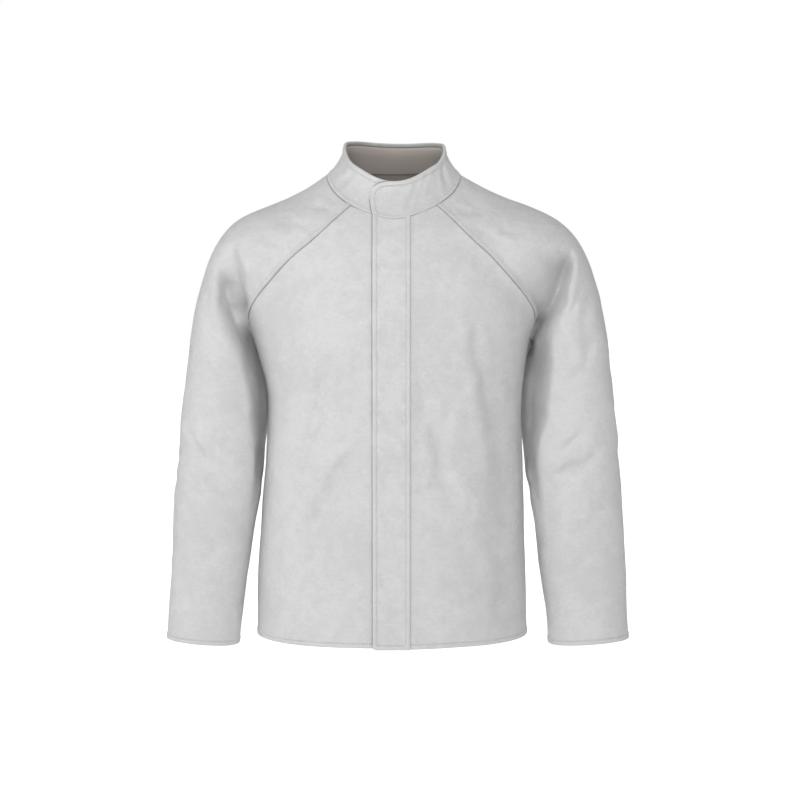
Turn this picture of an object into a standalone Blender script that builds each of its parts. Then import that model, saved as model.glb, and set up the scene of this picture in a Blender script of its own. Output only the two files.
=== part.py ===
"""Leather jacket with a stand collar, raglan sleeves and a covered front, hollow and filled out.

Metres, +Z up. The front faces -Y, the wearer's right arm is at -X. The origin is the middle of
the neck base, where the jacket hangs on its wearer. Every piece is a wall of cloth between an
outer and an inner grid of points: the grids run hem (or cuff) to neck in rows, and each row is
an arc worked out from the tables below.
"""
import math

import bpy
import numpy as np

# Cloth
LEATHER = 0.002
PLACKET_LEATHER = 0.0024
LINING = 0.001
SEAM_GAP = 0.0003

# Levels
HEM_Z = -0.686
UNDERARM_Z = -0.246
PLACKET_DROP = 0.0022
PLACKET_STANDS_OFF = 0.0008

# Centre front, measured across from the middle of the neck
FRONTS_MEET_X = 0.0150
PLACKET_FREE_EDGE_X = -0.0302
PLACKET_SEWN_EDGE_X = 0.0250

# How much squarer than an ellipse the torso is cut, up to which v; and the v at which the rows
# start to be drawn on to the neck ring and their arcs to be centred on it
TORSO_FULLNESS = 0.045
FULLNESS_ENDS_V = 1.7
NECK_DRAW_V = 1.55
NECK_CENTRE_V = 1.4
LARGEST_TURN_SHARE = 0.98

# Seams: how far the cloth is eased to each side and between which shares of the raglan seam this
# grows, the widest mitre of a wall, and how the seams part at the underarm
SEAM_EASE_LENGTH = 0.030
EASE_FROM, EASE_FULL = 0.10, 0.45
LEAST_LEAN = 0.45
UNDERARM_MITRE = 1.4
UNDERARM_EXTRA_GAP = 1.5
UNDERARM_GAP_ROWS = 4
SLEEVE_OPENS_OVER = 0.012

# Rows and cells of the grids
BODY_CELLS_BELOW = 11
RAGLAN_CELLS = 12
SLEEVE_CELLS_BELOW = 13
FRONT_CELLS_ACROSS = 10
BACK_CELLS_ACROSS = 20
SLEEVE_CELLS_ROUND = 22
PLACKET_CELLS_ACROSS = 4
COLLAR_CELLS_ROUND = 44
COLLAR_CELLS_UP = 5
COLLAR_LAP_CELLS = 3
COLLAR_CORNER_CELLS = 6

# The torso at its side seams, hem to underarm
TORSO_COLUMNS = ("z", "right_x", "left_x")
TORSO = (
    (-0.686, -0.2035, 0.2040),
    (-0.629, -0.2025, 0.2025),
    (-0.576, -0.2005, 0.2005),
    (-0.516, -0.1965, 0.1985),
    (-0.430, -0.1900, 0.1957),
    (-0.366, -0.1868, 0.1942),
    (-0.328, -0.1862, 0.1945),
    (-0.291, -0.1930, 0.1975),
    (-0.246, -0.2045, 0.2045),
)

# The middle of the front and of the back, hem to neck
MIDDLE_COLUMNS = ("z", "front_y", "back_y")
MIDDLE = (
    (-0.686, -0.1370, 0.1220),
    (-0.576, -0.1340, 0.1170),
    (-0.460, -0.1290, 0.1080),
    (-0.366, -0.1285, 0.1040),
    (-0.291, -0.1330, 0.1080),
    (-0.246, -0.1355, 0.1120),
    (-0.200, -0.1345, 0.1160),
    (-0.150, -0.1290, 0.1160),
    (-0.100, -0.1165, 0.1080),
    (-0.061, -0.0970, 0.0970),
    (-0.030, -0.0850, 0.0855),
    (0.003, -0.0700, 0.0730),
)

# The raglan seams and the shoulder line, underarm to neck, for one side (x outwards)
RAGLAN_COLUMNS = ("front_x", "front_y", "front_z", "back_x", "back_y", "back_z",
                  "shoulder_right_x", "shoulder_left_x", "shoulder_z", "half_depth", "turn")
RAGLAN = (
    (0.2045, 0.0000, -0.2460, 0.2045, 0.0000, -0.2460, 0.2995, 0.3205, -0.236, 0.0780, 180.0),
    (0.2085, -0.0180, -0.2310, 0.2070, 0.0240, -0.2290, 0.2945, 0.3140, -0.206, 0.0790, 164.0),
    (0.2115, -0.0370, -0.2125, 0.2055, 0.0470, -0.2060, 0.2880, 0.3080, -0.178, 0.0800, 148.0),
    (0.2070, -0.0560, -0.1960, 0.1975, 0.0660, -0.1790, 0.2800, 0.3000, -0.150, 0.0810, 131.0),
    (0.1930, -0.0750, -0.1755, 0.1840, 0.0810, -0.1530, 0.2695, 0.2885, -0.120, 0.0840, 112.0),
    (0.1680, -0.0900, -0.1465, 0.1650, 0.0900, -0.1240, 0.2520, 0.2705, -0.090, 0.0900, 96.0),
    (0.1420, -0.0975, -0.1190, 0.1400, 0.0940, -0.0930, 0.2260, 0.2425, -0.0655, 0.0960, 85.0),
    (0.1170, -0.0985, -0.0975, 0.1130, 0.0920, -0.0620, 0.1860, 0.2020, -0.0480, 0.0960, 77.0),
    (0.0890, -0.0930, -0.0710, 0.0820, 0.0810, -0.0280, 0.1400, 0.1500, -0.0290, 0.0900, 71.0),
    (0.0621, -0.0791, -0.0469, 0.0520, 0.0609, 0.0020, 0.0990, 0.0990, -0.0030, 0.0800, 67.0),
)

# The sleeves below the armhole, cuff to just under the arm
SLEEVE_COLUMNS = ("outer_z", "outer_right_x", "outer_left_x",
                  "inner_z", "inner_right_x", "inner_left_x", "middle_y", "half_depth")
SLEEVE = (
    (-0.690, 0.3375, 0.3555, -0.6985, 0.2290, 0.2350, -0.022, 0.0490),
    (-0.640, 0.3340, 0.3520, -0.645, 0.2225, 0.2300, -0.020, 0.0520),
    (-0.580, 0.3305, 0.3495, -0.584, 0.2150, 0.2215, -0.017, 0.0560),
    (-0.518, 0.3275, 0.3465, -0.521, 0.2055, 0.2140, -0.014, 0.0600),
    (-0.456, 0.3235, 0.3425, -0.458, 0.1960, 0.2040, -0.010, 0.0640),
    (-0.396, 0.3185, 0.3380, -0.397, 0.1925, 0.1990, -0.006, 0.0680),
    (-0.336, 0.3120, 0.3320, -0.336, 0.1905, 0.1985, -0.003, 0.0720),
    (-0.283, 0.3055, 0.3260, -0.286, 0.1985, 0.2025, -0.001, 0.0755),
)

# The collar: where it is sewn on, and its rim; the angle is 0 in front and 180 behind
NECK_HALF_WIDTH = 0.0990
NECK_HALF_DEPTH = 0.085
NECK_SHIFT_X = 0.003
NECK_MIDDLE_Y = -0.012
LEVEL_COLUMNS = ("forward", "z")
NECK_LEVEL = (
    (-1.000, 0.0030),
    (-0.866, 0.0042),
    (-0.500, 0.0040),
    (0.000, -0.0030),
    (0.438, -0.0247),
    (0.766, -0.0453),
    (1.000, -0.0613),
)
RIM_HALF_WIDTH = 0.0755
RIM_HALF_DEPTH = 0.067
RIM_MIDDLE_Y = -0.009
RIM_SHIFT_X = 0.0040
RIM_LEVEL = (
    (-1.000, 0.0490),
    (-0.750, 0.0510),
    (-0.450, 0.0528),
    (-0.200, 0.0510),
    (0.000, 0.0440),
    (0.250, 0.0325),
    (0.500, 0.0182),
    (0.755, 0.0061),
    (0.900, -0.0034),
    (1.000, -0.0120),
)
COLLAR_FLARE = 1.8
COLLAR_UNDER_END_X = 0.014
COLLAR_OVER_END_X = -0.0300
COLLAR_END_GAP = 0.0010
COLLAR_LIFT_LENGTH = 0.030
COLLAR_CORNER = 0.024
COLLAR_FRONT_HEIGHT = 0.052
RIM_TUCK = 0.0016

# The lining just under the inside neck seam
NECK_LINING_DEPTH_ROWS = 3
NECK_LINING_CELLS_ACROSS = 12

# The largest folds: a soft trough (depth > 0) or ridge (depth < 0) along a curve through three
# places seen from the front (side "front") or from the back (side "back"); metres
FOLD_COLUMNS = ("side", "start_x", "start_z", "middle_x", "middle_z", "end_x", "end_z",
                "half_width", "depth")
FOLDS = (
    ("front", -0.238, -0.115, -0.244, -0.190, -0.214, -0.300, 0.013, 0.014),
    ("front", 0.262, -0.095, 0.234, -0.165, 0.207, -0.285, 0.013, 0.016),
    ("front", 0.118, -0.235, 0.138, -0.400, 0.176, -0.640, 0.024, 0.006),
    ("front", -0.050, -0.400, -0.092, -0.470, -0.140, -0.550, 0.015, 0.004),
    ("front", -0.092, -0.290, -0.118, -0.370, -0.142, -0.440, 0.017, 0.003),
    ("front", 0.058, -0.345, 0.070, -0.410, 0.096, -0.485, 0.012, 0.003),
    ("front", -0.300, -0.395, -0.255, -0.430, -0.215, -0.440, 0.012, 0.004),
    ("front", 0.225, -0.455, 0.270, -0.440, 0.315, -0.405, 0.012, 0.004),
    ("back", -0.244, -0.130, -0.240, -0.205, -0.212, -0.310, 0.014, 0.013),
    ("back", 0.258, -0.115, 0.240, -0.190, 0.210, -0.300, 0.014, 0.014),
    ("back", -0.175, -0.290, -0.120, -0.360, -0.040, -0.440, 0.018, 0.005),
    ("back", 0.175, -0.300, 0.125, -0.390, 0.050, -0.500, 0.018, 0.005),
    ("back", -0.300, -0.385, -0.255, -0.425, -0.215, -0.445, 0.013, 0.004),
    ("back", 0.222, -0.450, 0.270, -0.430, 0.318, -0.390, 0.013, 0.004),
)
FOLD_SAMPLES = 17
FOLD_END_SHARE = 0.04
FOLD_FADE_POWER = 0.7
FOLD_FACING = (0.05, 0.5)

COLLECTION = "leather_jacket"
LEATHER_COLOUR = (0.72, 0.72, 0.715)
LEATHER_ROUGHNESS = 0.5
LINING_COLOUR = (0.24, 0.21, 0.19)
LINING_ROUGHNESS = 0.9
SHARP_EDGE_DEGREES = 50


def spline(knots, values, at):
    """Natural cubic curve through the rows of values at the knots, read at the places given."""
    knots = np.asarray(knots, float)
    values = np.asarray(values, float)
    at = np.asarray(at, float)
    step = np.diff(knots)
    count = len(knots)
    system = np.eye(count)
    right = np.zeros((count,) + values.shape[1:])
    slope = (values[1:] - values[:-1]) / step.reshape((-1,) + (1,) * (values.ndim - 1))
    for i in range(1, count - 1):
        system[i, i - 1:i + 2] = step[i - 1], 2 * (step[i - 1] + step[i]), step[i]
        right[i] = 6 * (slope[i] - slope[i - 1])
    bend = np.linalg.solve(system, right)
    cell = np.clip(np.searchsorted(knots, at, side="right") - 1, 0, count - 2)
    shape = at.shape + (1,) * (values.ndim - 1)
    width = step[cell].reshape(shape)
    b = (at - knots[cell]).reshape(shape) / width
    a = 1 - b
    curve = a * values[cell] + b * values[cell + 1]
    return curve + ((a ** 3 - a) * bend[cell] + (b ** 3 - b) * bend[cell + 1]) * width ** 2 / 6


def column(table, names, name):
    """One named column of a table as an array."""
    return np.array([row[names.index(name)] for row in table], float)


def columns(table, names, *wanted):
    """Several named columns of a table, side by side."""
    return np.stack([column(table, names, name) for name in wanted], axis=-1)


def smoothstep(low, high, value):
    """0 below low, 1 above high, and an even S between them."""
    t = np.clip((value - low) / (high - low), 0, 1)
    return t * t * (3 - 2 * t)


def unit(vectors):
    """Vectors scaled to length 1."""
    return vectors / np.maximum(np.linalg.norm(vectors, axis=-1, keepdims=True), 1e-12)


def neck_ring(angle):
    """Where the collar is sewn on, by the angle from the middle front: an ellipse seen from
    above, low in front."""
    forward = np.cos(angle)
    level = spline(column(NECK_LEVEL, LEVEL_COLUMNS, "forward"),
                   column(NECK_LEVEL, LEVEL_COLUMNS, "z"), forward)
    return np.stack([NECK_SHIFT_X + NECK_HALF_WIDTH * np.sin(angle),
                     NECK_MIDDLE_Y - NECK_HALF_DEPTH * forward, level], axis=-1)


def rim_ring(angle):
    """The collar's rim, by the same angle."""
    forward = np.cos(angle)
    level = spline(column(RIM_LEVEL, LEVEL_COLUMNS, "forward"),
                   column(RIM_LEVEL, LEVEL_COLUMNS, "z"), forward)
    return np.stack([RIM_SHIFT_X + RIM_HALF_WIDTH * np.sin(angle),
                     RIM_MIDDLE_Y - RIM_HALF_DEPTH * forward, level], axis=-1)


def raglan(side, names, station):
    """Named raglan columns as a curve over the stations 0 (underarm) to 9 (neck); x is turned
    to the side given (-1 right, 1 left)."""
    knots = np.arange(len(RAGLAN))
    curve = spline(knots, columns(RAGLAN, RAGLAN_COLUMNS, *names), station)
    curve[..., 0] *= side
    return curve


def neck_angles():
    """The angles on the neck ring where the front and back raglan seams reach it."""
    front = math.asin(RAGLAN[-1][RAGLAN_COLUMNS.index("front_x")] / NECK_HALF_WIDTH)
    back = math.pi - math.asin(RAGLAN[-1][RAGLAN_COLUMNS.index("back_x")] / NECK_HALF_WIDTH)
    return front, back


def torso_edge(side, face, v):
    """The edge of a front (face -1) or of the back (face 1) in each row: the side seam for v up
    to 1, then the raglan seam up to the neck at 2."""
    low = np.clip(v, 0, 1)
    z = HEM_Z + low * (UNDERARM_Z - HEM_Z)
    x_name = "right_x" if side < 0 else "left_x"
    x = spline(column(TORSO, TORSO_COLUMNS, "z"), column(TORSO, TORSO_COLUMNS, x_name), z)
    seam = np.stack([x, np.zeros_like(x), z], axis=-1)
    start = "front_" if face < 0 else "back_"
    station = np.clip(v - 1, 0, 1) * (len(RAGLAN) - 1)
    above = raglan(side, (start + "x", start + "y", start + "z"), station)
    return np.where((v > 1)[..., None], above, seam)


def torso_middle(face, v):
    """The middle line of the fronts or of the back, at the same rows."""
    low = HEM_Z + np.clip(v, 0, 1) * (UNDERARM_Z - HEM_Z)
    neck_z = neck_ring(np.array(0.0 if face < 0 else math.pi))[2]
    station = np.clip(v - 1, 0, 1) * (len(RAGLAN) - 1)
    start = "front_z" if face < 0 else "back_z"
    seam_z = spline(np.arange(len(RAGLAN)), column(RAGLAN, RAGLAN_COLUMNS, start), station)
    seam_neck_z = RAGLAN[-1][RAGLAN_COLUMNS.index(start)]
    share = (seam_z - UNDERARM_Z) / (seam_neck_z - UNDERARM_Z)
    z = np.where(v > 1, UNDERARM_Z + share * (neck_z - UNDERARM_Z), low)
    name = "front_y" if face < 0 else "back_y"
    y = spline(column(MIDDLE, MIDDLE_COLUMNS, "z"), column(MIDDLE, MIDDLE_COLUMNS, name), z)
    return np.stack([np.zeros_like(y), y, z], axis=-1)


def torso_turn(edge, middle, v):
    """Half the angle of an arc whose ellipse has its centre on the garment's middle plane."""
    centre = NECK_MIDDLE_Y * smoothstep(NECK_CENTRE_V, 2.0, v)
    share = (edge[..., 1] - centre) / (middle[..., 1] - centre)
    return np.arccos(np.clip(share, 0.0, LARGEST_TURN_SHARE))


def torso_arc(face, s, v):
    """One row of the fronts (face -1) or back (face 1): s runs from -1 at the right edge to 1 at
    the left edge.

    In each row x is the edge's x times sin(turn s) / sin(turn), and y and z go from the edge to
    the middle with (cos(turn s) - cos(turn)) / (1 - cos(turn)). The torso is cut a little
    squarer, with sin(pi s) squared.
    """
    edge = np.where((s < 0)[..., None], torso_edge(-1, face, v), torso_edge(1, face, v))
    middle = torso_middle(face, v)
    turn = torso_turn(edge, middle, v)
    weight = (np.cos(turn * s) - np.cos(turn)) / (1 - np.cos(turn))
    full = TORSO_FULLNESS * np.sin(math.pi * s) ** 2 * (1 - smoothstep(1.0, FULLNESS_ENDS_V, v))
    return np.stack([
        edge[..., 0] * np.sin(turn * np.abs(s)) / np.sin(turn),
        edge[..., 1] + (middle[..., 1] - edge[..., 1]) * (weight + full),
        edge[..., 2] + (middle[..., 2] - edge[..., 2]) * weight,
    ], axis=-1)


def torso(face, s, v):
    """Points of the fronts or the back; the last row is the neck ring."""
    front, back = neck_angles()
    angle = front * s if face < 0 else math.pi - (math.pi - back) * s
    plain = torso_arc(face, s, np.full_like(s, 2.0))
    return to_neck(torso_arc(face, s, v), plain, neck_ring(angle), v)


def to_neck(points, plain, ring, v):
    """Draws the rows near the neck on to the neck ring, fully at v = 2."""
    return points + (ring - plain) * smoothstep(NECK_DRAW_V, 2.0, v)[..., None]


def sleeve_lines(side, v):
    """Front seam, back seam, outer line, half depth and turn of a sleeve in each row: v runs
    from 0 at the cuff to 1 at the underarm and 2 at the neck."""
    x_name = "right_x" if side < 0 else "left_x"
    outer_low = columns(SLEEVE, SLEEVE_COLUMNS, "outer_" + x_name, "middle_y", "outer_z",
                        "half_depth")
    outer_high = columns(RAGLAN, RAGLAN_COLUMNS, "shoulder_" + x_name, "front_y", "shoulder_z",
                         "half_depth")
    outer_high[:, 1] = np.linspace(0, NECK_MIDDLE_Y, len(RAGLAN))
    knots = np.concatenate([np.arange(len(SLEEVE)) / len(SLEEVE),
                            1 + np.arange(len(RAGLAN)) / (len(RAGLAN) - 1)])
    outer = spline(knots, np.concatenate([outer_low, outer_high]), v)
    depth = outer[..., 3]
    outer = outer[..., :3] * np.array([side, 1, 1])
    inner_low = columns(SLEEVE, SLEEVE_COLUMNS, "inner_" + x_name, "middle_y", "inner_z")
    underarm = columns(RAGLAN, RAGLAN_COLUMNS, "front_x", "front_y", "front_z")[:1]
    inner = spline(knots[:len(SLEEVE) + 1], np.concatenate([inner_low, underarm]),
                   np.clip(v, 0, 1)) * np.array([side, 1, 1])
    station = np.clip(v - 1, 0, 1) * (len(RAGLAN) - 1)
    above = (v > 1)[..., None]
    front = np.where(above, raglan(side, ("front_x", "front_y", "front_z"), station), inner)
    back = np.where(above, raglan(side, ("back_x", "back_y", "back_z"), station), inner)
    turn = np.radians(spline(np.arange(len(RAGLAN)), column(RAGLAN, RAGLAN_COLUMNS, "turn"),
                             station))
    return front, back, outer, depth, turn


def sleeve_arc(side, s, v):
    """One sleeve row: s runs from -1 at the front seam over 0 on the shoulder or outer line to
    1 at the back seam.

    With m halfway between the seams, h the unit vector from front to back, D the half depth and
    c from m to the outer line: m + h (D sin(turn s) + what is missing at the seam times s cubed)
    + c (cos(turn s) - cos(turn)) / (1 - cos(turn)). A turn of 180 degrees closes the ring.
    """
    front, back, outer, depth, turn = sleeve_lines(side, v)
    middle = (front + back) / 2
    reach = np.linalg.norm(back - front, axis=-1) / 2
    straight = np.array([0.0, 1.0, 0.0])
    opened = smoothstep(0.0, SLEEVE_OPENS_OVER, reach)[..., None]
    across = unit(opened * unit(back - front) + (1 - opened) * straight)
    along = depth * np.sin(turn * s) + (reach - depth * np.sin(turn)) * s ** 3
    out = (np.cos(turn * s) - np.cos(turn)) / (1 - np.cos(turn))
    missing = (back - front) / 2 - across * reach[..., None]
    return middle + across * along[..., None] + (outer - middle) * out[..., None] + missing * (
        s ** 3)[..., None]


def sleeve(side, s, v):
    """Points of a sleeve; the last row is the neck ring between the two raglan seams."""
    front, back = neck_angles()
    angle = side * ((front + back) / 2 + (back - front) / 2 * s)
    plain = sleeve_arc(side, s, np.full_like(s, 2.0))
    return to_neck(sleeve_arc(side, s, v), plain, neck_ring(angle), v)


def normals(points, outward):
    """Unit normals of a grid of points from its own differences; outward is 1 or -1."""
    rows = np.gradient(points, axis=0)
    across = np.gradient(points, axis=1)
    return unit(np.cross(across, rows)) * outward


def ring_normals(points, outward, closed):
    """Grid normals of a sleeve, whose first and last columns are one in its closed rows."""
    across = np.gradient(points, axis=1)
    joined = (points[:closed, 1] - points[:closed, -2]) / 2
    across[:closed, 0] = joined
    across[:closed, -1] = joined
    return unit(np.cross(across, np.gradient(points, axis=0))) * outward


def fold_depth(points, facing):
    """How far each point is moved in by the folds, from its place seen from front or back."""
    moved = np.zeros(points.shape[:-1])
    t = np.linspace(0, 1, FOLD_SAMPLES)
    for row in FOLDS:
        fold = dict(zip(FOLD_COLUMNS, row))
        face = -1 if fold["side"] == "front" else 1
        ends = [np.array([fold[k + "_x"], fold[k + "_z"]]) for k in ("start", "middle", "end")]
        line = ((1 - t)[:, None] * (1 - 2 * t)[:, None] * ends[0]
                + (4 * t * (1 - t))[:, None] * ends[1] + (t * (2 * t - 1))[:, None] * ends[2])
        place = points[..., None, [0, 2]]
        gap = np.linalg.norm(place - line, axis=-1)
        nearest = np.argmin(gap, axis=-1)
        inside = np.clip(t[nearest], FOLD_END_SHARE, 1 - FOLD_END_SHARE)
        fade = np.sin(math.pi * inside) ** FOLD_FADE_POWER
        across = np.exp(-(np.min(gap, axis=-1) / fold["half_width"]) ** 2)
        moved += fold["depth"] * across * fade * smoothstep(*FOLD_FACING, facing * face)
    return moved


class Cloth:
    """One cut piece: its outer grid, its normals, and which way the grid's normals point."""

    def __init__(self, name, points, outward, closed=0):
        self.name = name
        self.points = points
        self.outward = outward
        self.closed = closed
        self.shift = np.zeros_like(points)
        self.refresh()

    def refresh(self):
        """Works the normals out again after the points have moved."""
        if self.closed:
            self.normal = ring_normals(self.points, self.outward, self.closed)
        else:
            self.normal = normals(self.points, self.outward)
        self.mitre = np.ones(self.points.shape[:-1])


def join_normals(seams):
    """Gives both pieces the same normal along each seam, and a mitre that keeps the wall."""
    for (one, one_column, one_rows), (two, two_column, two_rows) in seams:
        shared = unit(one.normal[one_rows, one_column] + two.normal[two_rows, two_column])
        for cloth, place, rows in ((one, one_column, one_rows), (two, two_column, two_rows)):
            lean = np.sum(shared * cloth.normal[rows, place], axis=-1)
            cloth.mitre[rows, place] = 1 / np.maximum(lean, LEAST_LEAN)
        one.normal[one_rows, one_column] = shared
        two.normal[two_rows, two_column] = shared


def turn_underarms_down(made):
    """Where fronts, back and sleeve meet under the arm, all of them share one normal: down."""
    corners = [(made["front_right"], 0), (made["front_left"], -1), (made["back"], 0),
               (made["back"], -1)]
    corners += [(made[name], end) for name in ("sleeve_right", "sleeve_left") for end in (0, -1)]
    for cloth, column_index in corners:
        row = SLEEVE_CELLS_BELOW if cloth.closed else BODY_CELLS_BELOW
        cloth.normal[row, column_index] = (0, 0, -1)
        cloth.mitre[row, column_index] = UNDERARM_MITRE


def ease(cloth, column_index, rows, shared, strength):
    """Bends the cloth near a seam so that it leaves the seam square to the shared normal: each
    point moves against that normal by slope x distance x exp(-(distance / ease length)^2)."""
    grid = cloth.points[rows] if column_index == 0 else cloth.points[rows, ::-1]
    distance = np.concatenate([np.zeros((grid.shape[0], 1)), np.cumsum(
        np.linalg.norm(np.diff(grid, axis=1), axis=-1), axis=1)], axis=1)
    slope = np.sum(unit(grid[:, 1] - grid[:, 0]) * shared, axis=-1)
    move = (slope * strength)[:, None] * distance * np.exp(-(distance / SEAM_EASE_LENGTH) ** 2)
    moved = grid - move[..., None] * shared[:, None, :]
    cloth.points[rows] = moved if column_index == 0 else moved[:, ::-1]


def pieces():
    """The five large pieces of leather as grids that share their seams' points."""
    below = np.linspace(0, 1, BODY_CELLS_BELOW + 1)
    above = np.linspace(1, 2, RAGLAN_CELLS + 1)[1:]
    body_v = np.concatenate([below, above])
    sleeve_v = np.concatenate([np.linspace(0, 1, SLEEVE_CELLS_BELOW + 1), above])

    def grid(v, s):
        return np.meshgrid(v, s, indexing="ij")

    made = {}
    v, s = grid(body_v, np.linspace(-1, 0, FRONT_CELLS_ACROSS + 1))
    meet = front_place(body_v, FRONTS_MEET_X)[:, None]
    made["front_right"] = Cloth("front_right", torso(-1, -1 + (s + 1) * (1 + meet), v), 1)
    made["front_left"] = Cloth("front_left", torso(-1, meet + (s + 1) * (1 - meet), v), 1)
    v, s = grid(body_v, np.linspace(-1, 1, BACK_CELLS_ACROSS + 1))
    made["back"] = Cloth("back", torso(1, s, v), -1)
    v, s = grid(sleeve_v, np.linspace(-1, 1, SLEEVE_CELLS_ROUND + 1))
    closed = SLEEVE_CELLS_BELOW + 1
    made["sleeve_right"] = Cloth("sleeve_right", sleeve(-1, s, v), -1, closed)
    made["sleeve_left"] = Cloth("sleeve_left", sleeve(1, s, v), 1, closed)
    return made


def front_place(v, x):
    """The s at which each front row has the given x."""
    edge = torso_edge(1 if x > 0 else -1, -1, v)
    turn = torso_turn(edge, torso_middle(-1, v), v)
    return np.arcsin(x / edge[..., 0] * np.sin(turn)) / turn * (1 if x > 0 else -1)


def seam_list(made):
    """Every long seam as two (piece, column, rows), and which of them are raglan seams."""
    body_up = slice(BODY_CELLS_BELOW, None)
    sleeve_up = slice(SLEEVE_CELLS_BELOW, None)
    side_rows = slice(0, BODY_CELLS_BELOW + 1)
    every = slice(None)
    raglans = [
        ((made["front_right"], 0, body_up), (made["sleeve_right"], 0, sleeve_up)),
        ((made["front_left"], -1, body_up), (made["sleeve_left"], 0, sleeve_up)),
        ((made["back"], 0, body_up), (made["sleeve_right"], -1, sleeve_up)),
        ((made["back"], -1, body_up), (made["sleeve_left"], -1, sleeve_up)),
    ]
    plain = [
        ((made["front_right"], 0, side_rows), (made["back"], 0, side_rows)),
        ((made["front_left"], -1, side_rows), (made["back"], -1, side_rows)),
        ((made["front_right"], -1, every), (made["front_left"], 0, every)),
    ]
    return raglans, plain


def ease_seams(raglans):
    """Eases the raglan seams, fully above the armhole's foot and not at all at the underarm."""
    for one, two in raglans:
        station = np.linspace(0, 1, RAGLAN_CELLS + 1)
        strength = smoothstep(EASE_FROM, EASE_FULL, station)
        shared = unit(one[0].normal[one[2], one[1]] + two[0].normal[two[2], two[1]])
        ease(*one, shared, strength)
        ease(*two, shared, strength)


def into_piece(cloth, column_index, rows):
    """Unit steps from a seam into the piece, square to the seam."""
    line = cloth.points[rows, column_index]
    step = cloth.points[rows, 1 if column_index == 0 else -2] - line
    along = unit(np.gradient(line, axis=0))
    return unit(step - along * np.sum(step * along, axis=-1, keepdims=True))


def open_seams(seams, extra_at_start=0.0):
    """Draws both pieces back from their seam by half the gap, along the cloth; the gap may be
    a little wider where the seam starts."""
    for one, two in seams:
        count = len(one[0].points[one[2], one[1]])
        wider = extra_at_start * (1 - smoothstep(0, UNDERARM_GAP_ROWS,
                                                 np.arange(count)))[:, None]
        back_off = unit(into_piece(*one) - into_piece(*two)) * SEAM_GAP / 2 * (1 + wider)
        one[0].shift[one[2], one[1]] += back_off
        two[0].shift[two[2], two[1]] -= back_off


def shaped():
    """The large pieces, eased at the raglan seams, folded, and drawn back at every seam."""
    made = pieces()
    raglans, plain = seam_list(made)
    ease_seams(raglans)
    for cloth in made.values():
        cloth.refresh()
    join_normals(plain + raglans)
    turn_underarms_down(made)
    for cloth in made.values():
        cloth.points -= cloth.normal * fold_depth(cloth.points, cloth.normal[..., 1])[..., None]
        cloth.refresh()
    join_normals(plain + raglans)
    turn_underarms_down(made)
    open_seams(plain)
    open_seams(raglans, UNDERARM_EXTRA_GAP)
    for cloth in made.values():
        cloth.shift[-1] -= unit(cloth.points[-1] - cloth.points[-2]) * SEAM_GAP
    return made


def wall_mesh(name, outer, inner, outward, closed=0):
    """A closed mesh between an outer and an inner grid.

    The first `closed` rows are rings whose last column is their first. Open edges are joined by
    a strip between the two grids.
    """
    rows, across = outer.shape[:2]
    number = np.arange(rows * across).reshape(rows, across)
    for row in range(closed):
        number[row, -1] = number[row, 0]
    total = rows * across
    quads = []

    def strip(a, b):
        quads.append(np.stack([a[:-1], a[1:], b[1:], b[:-1]], axis=-1).reshape(-1, 4))

    for row in range(rows - 1):
        strip(number[row], number[row + 1])
        strip(number[row + 1] + total, number[row] + total)
    strip(number[0] + total, number[0])
    strip(number[-1], number[-1] + total)
    first = max(closed - 1, 0)
    strip(number[first:, 0], number[first:, 0] + total)
    strip(number[first:, -1] + total, number[first:, -1])
    faces = np.concatenate(quads)
    if outward < 0:
        faces = faces[:, ::-1]
    points = np.concatenate([outer.reshape(-1, 3), inner.reshape(-1, 3)])
    used, renumbered = np.unique(faces, return_inverse=True)
    mesh = bpy.data.meshes.new(name)
    mesh.from_pydata(points[used].tolist(), [], renumbered.reshape(faces.shape).tolist())
    mesh.validate()
    mesh.update()
    return mesh


def material(name, colour, roughness):
    """A plain Principled finish."""
    made = bpy.data.materials.new(name)
    made.use_nodes = True
    shader = made.node_tree.nodes["Principled BSDF"]
    shader.inputs["Base Color"].default_value = (*colour, 1.0)
    shader.inputs["Roughness"].default_value = roughness
    shader.inputs["Metallic"].default_value = 0.0
    return made


def leather(name):
    """One piece's own leather."""
    return material(name + "_leather", LEATHER_COLOUR, LEATHER_ROUGHNESS)


def lining(name):
    """One piece's own lining cloth."""
    return material(name + "_cloth", LINING_COLOUR, LINING_ROUGHNESS)


def add(collection, name, mesh, finish):
    """Puts one named piece in the jacket's collection."""
    mesh.materials.append(finish)
    mesh.shade_smooth()
    mesh.set_sharp_from_angle(angle=math.radians(SHARP_EDGE_DEGREES))
    collection.objects.link(bpy.data.objects.new(name, mesh))


def placket_grids(right, left):
    """The placket's outer and inner grid: the fronts' points between its two edges, moved out.
    Its hem hangs a little lower, and its top stops just short of the collar."""
    points = np.concatenate([right.points, left.points[:, 1:]], axis=1)
    normal = np.concatenate([right.normal, left.normal[:, 1:]], axis=1)
    places = np.linspace(PLACKET_FREE_EDGE_X, PLACKET_SEWN_EDGE_X, PLACKET_CELLS_ACROSS + 1)

    def between_edges(values):
        return np.array([[np.interp(places, across[:, 0], line) for line in row.T]
                         for across, row in zip(points, values)]).transpose(0, 2, 1)

    face, out = between_edges(points), unit(between_edges(normal))
    inner = face + out * PLACKET_STANDS_OFF
    outer = face + out * (PLACKET_STANDS_OFF + PLACKET_LEATHER)
    for grid in (outer, inner):
        grid[0, :, 2] -= PLACKET_DROP
        grid[-1] -= unit(grid[-1] - grid[-2]) * PLACKET_LEATHER
    return outer, inner


def collar_flare(height):
    """How much of the way from the rim's outline to the neck seam's the band still is."""
    return (1 - height) ** COLLAR_FLARE


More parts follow.
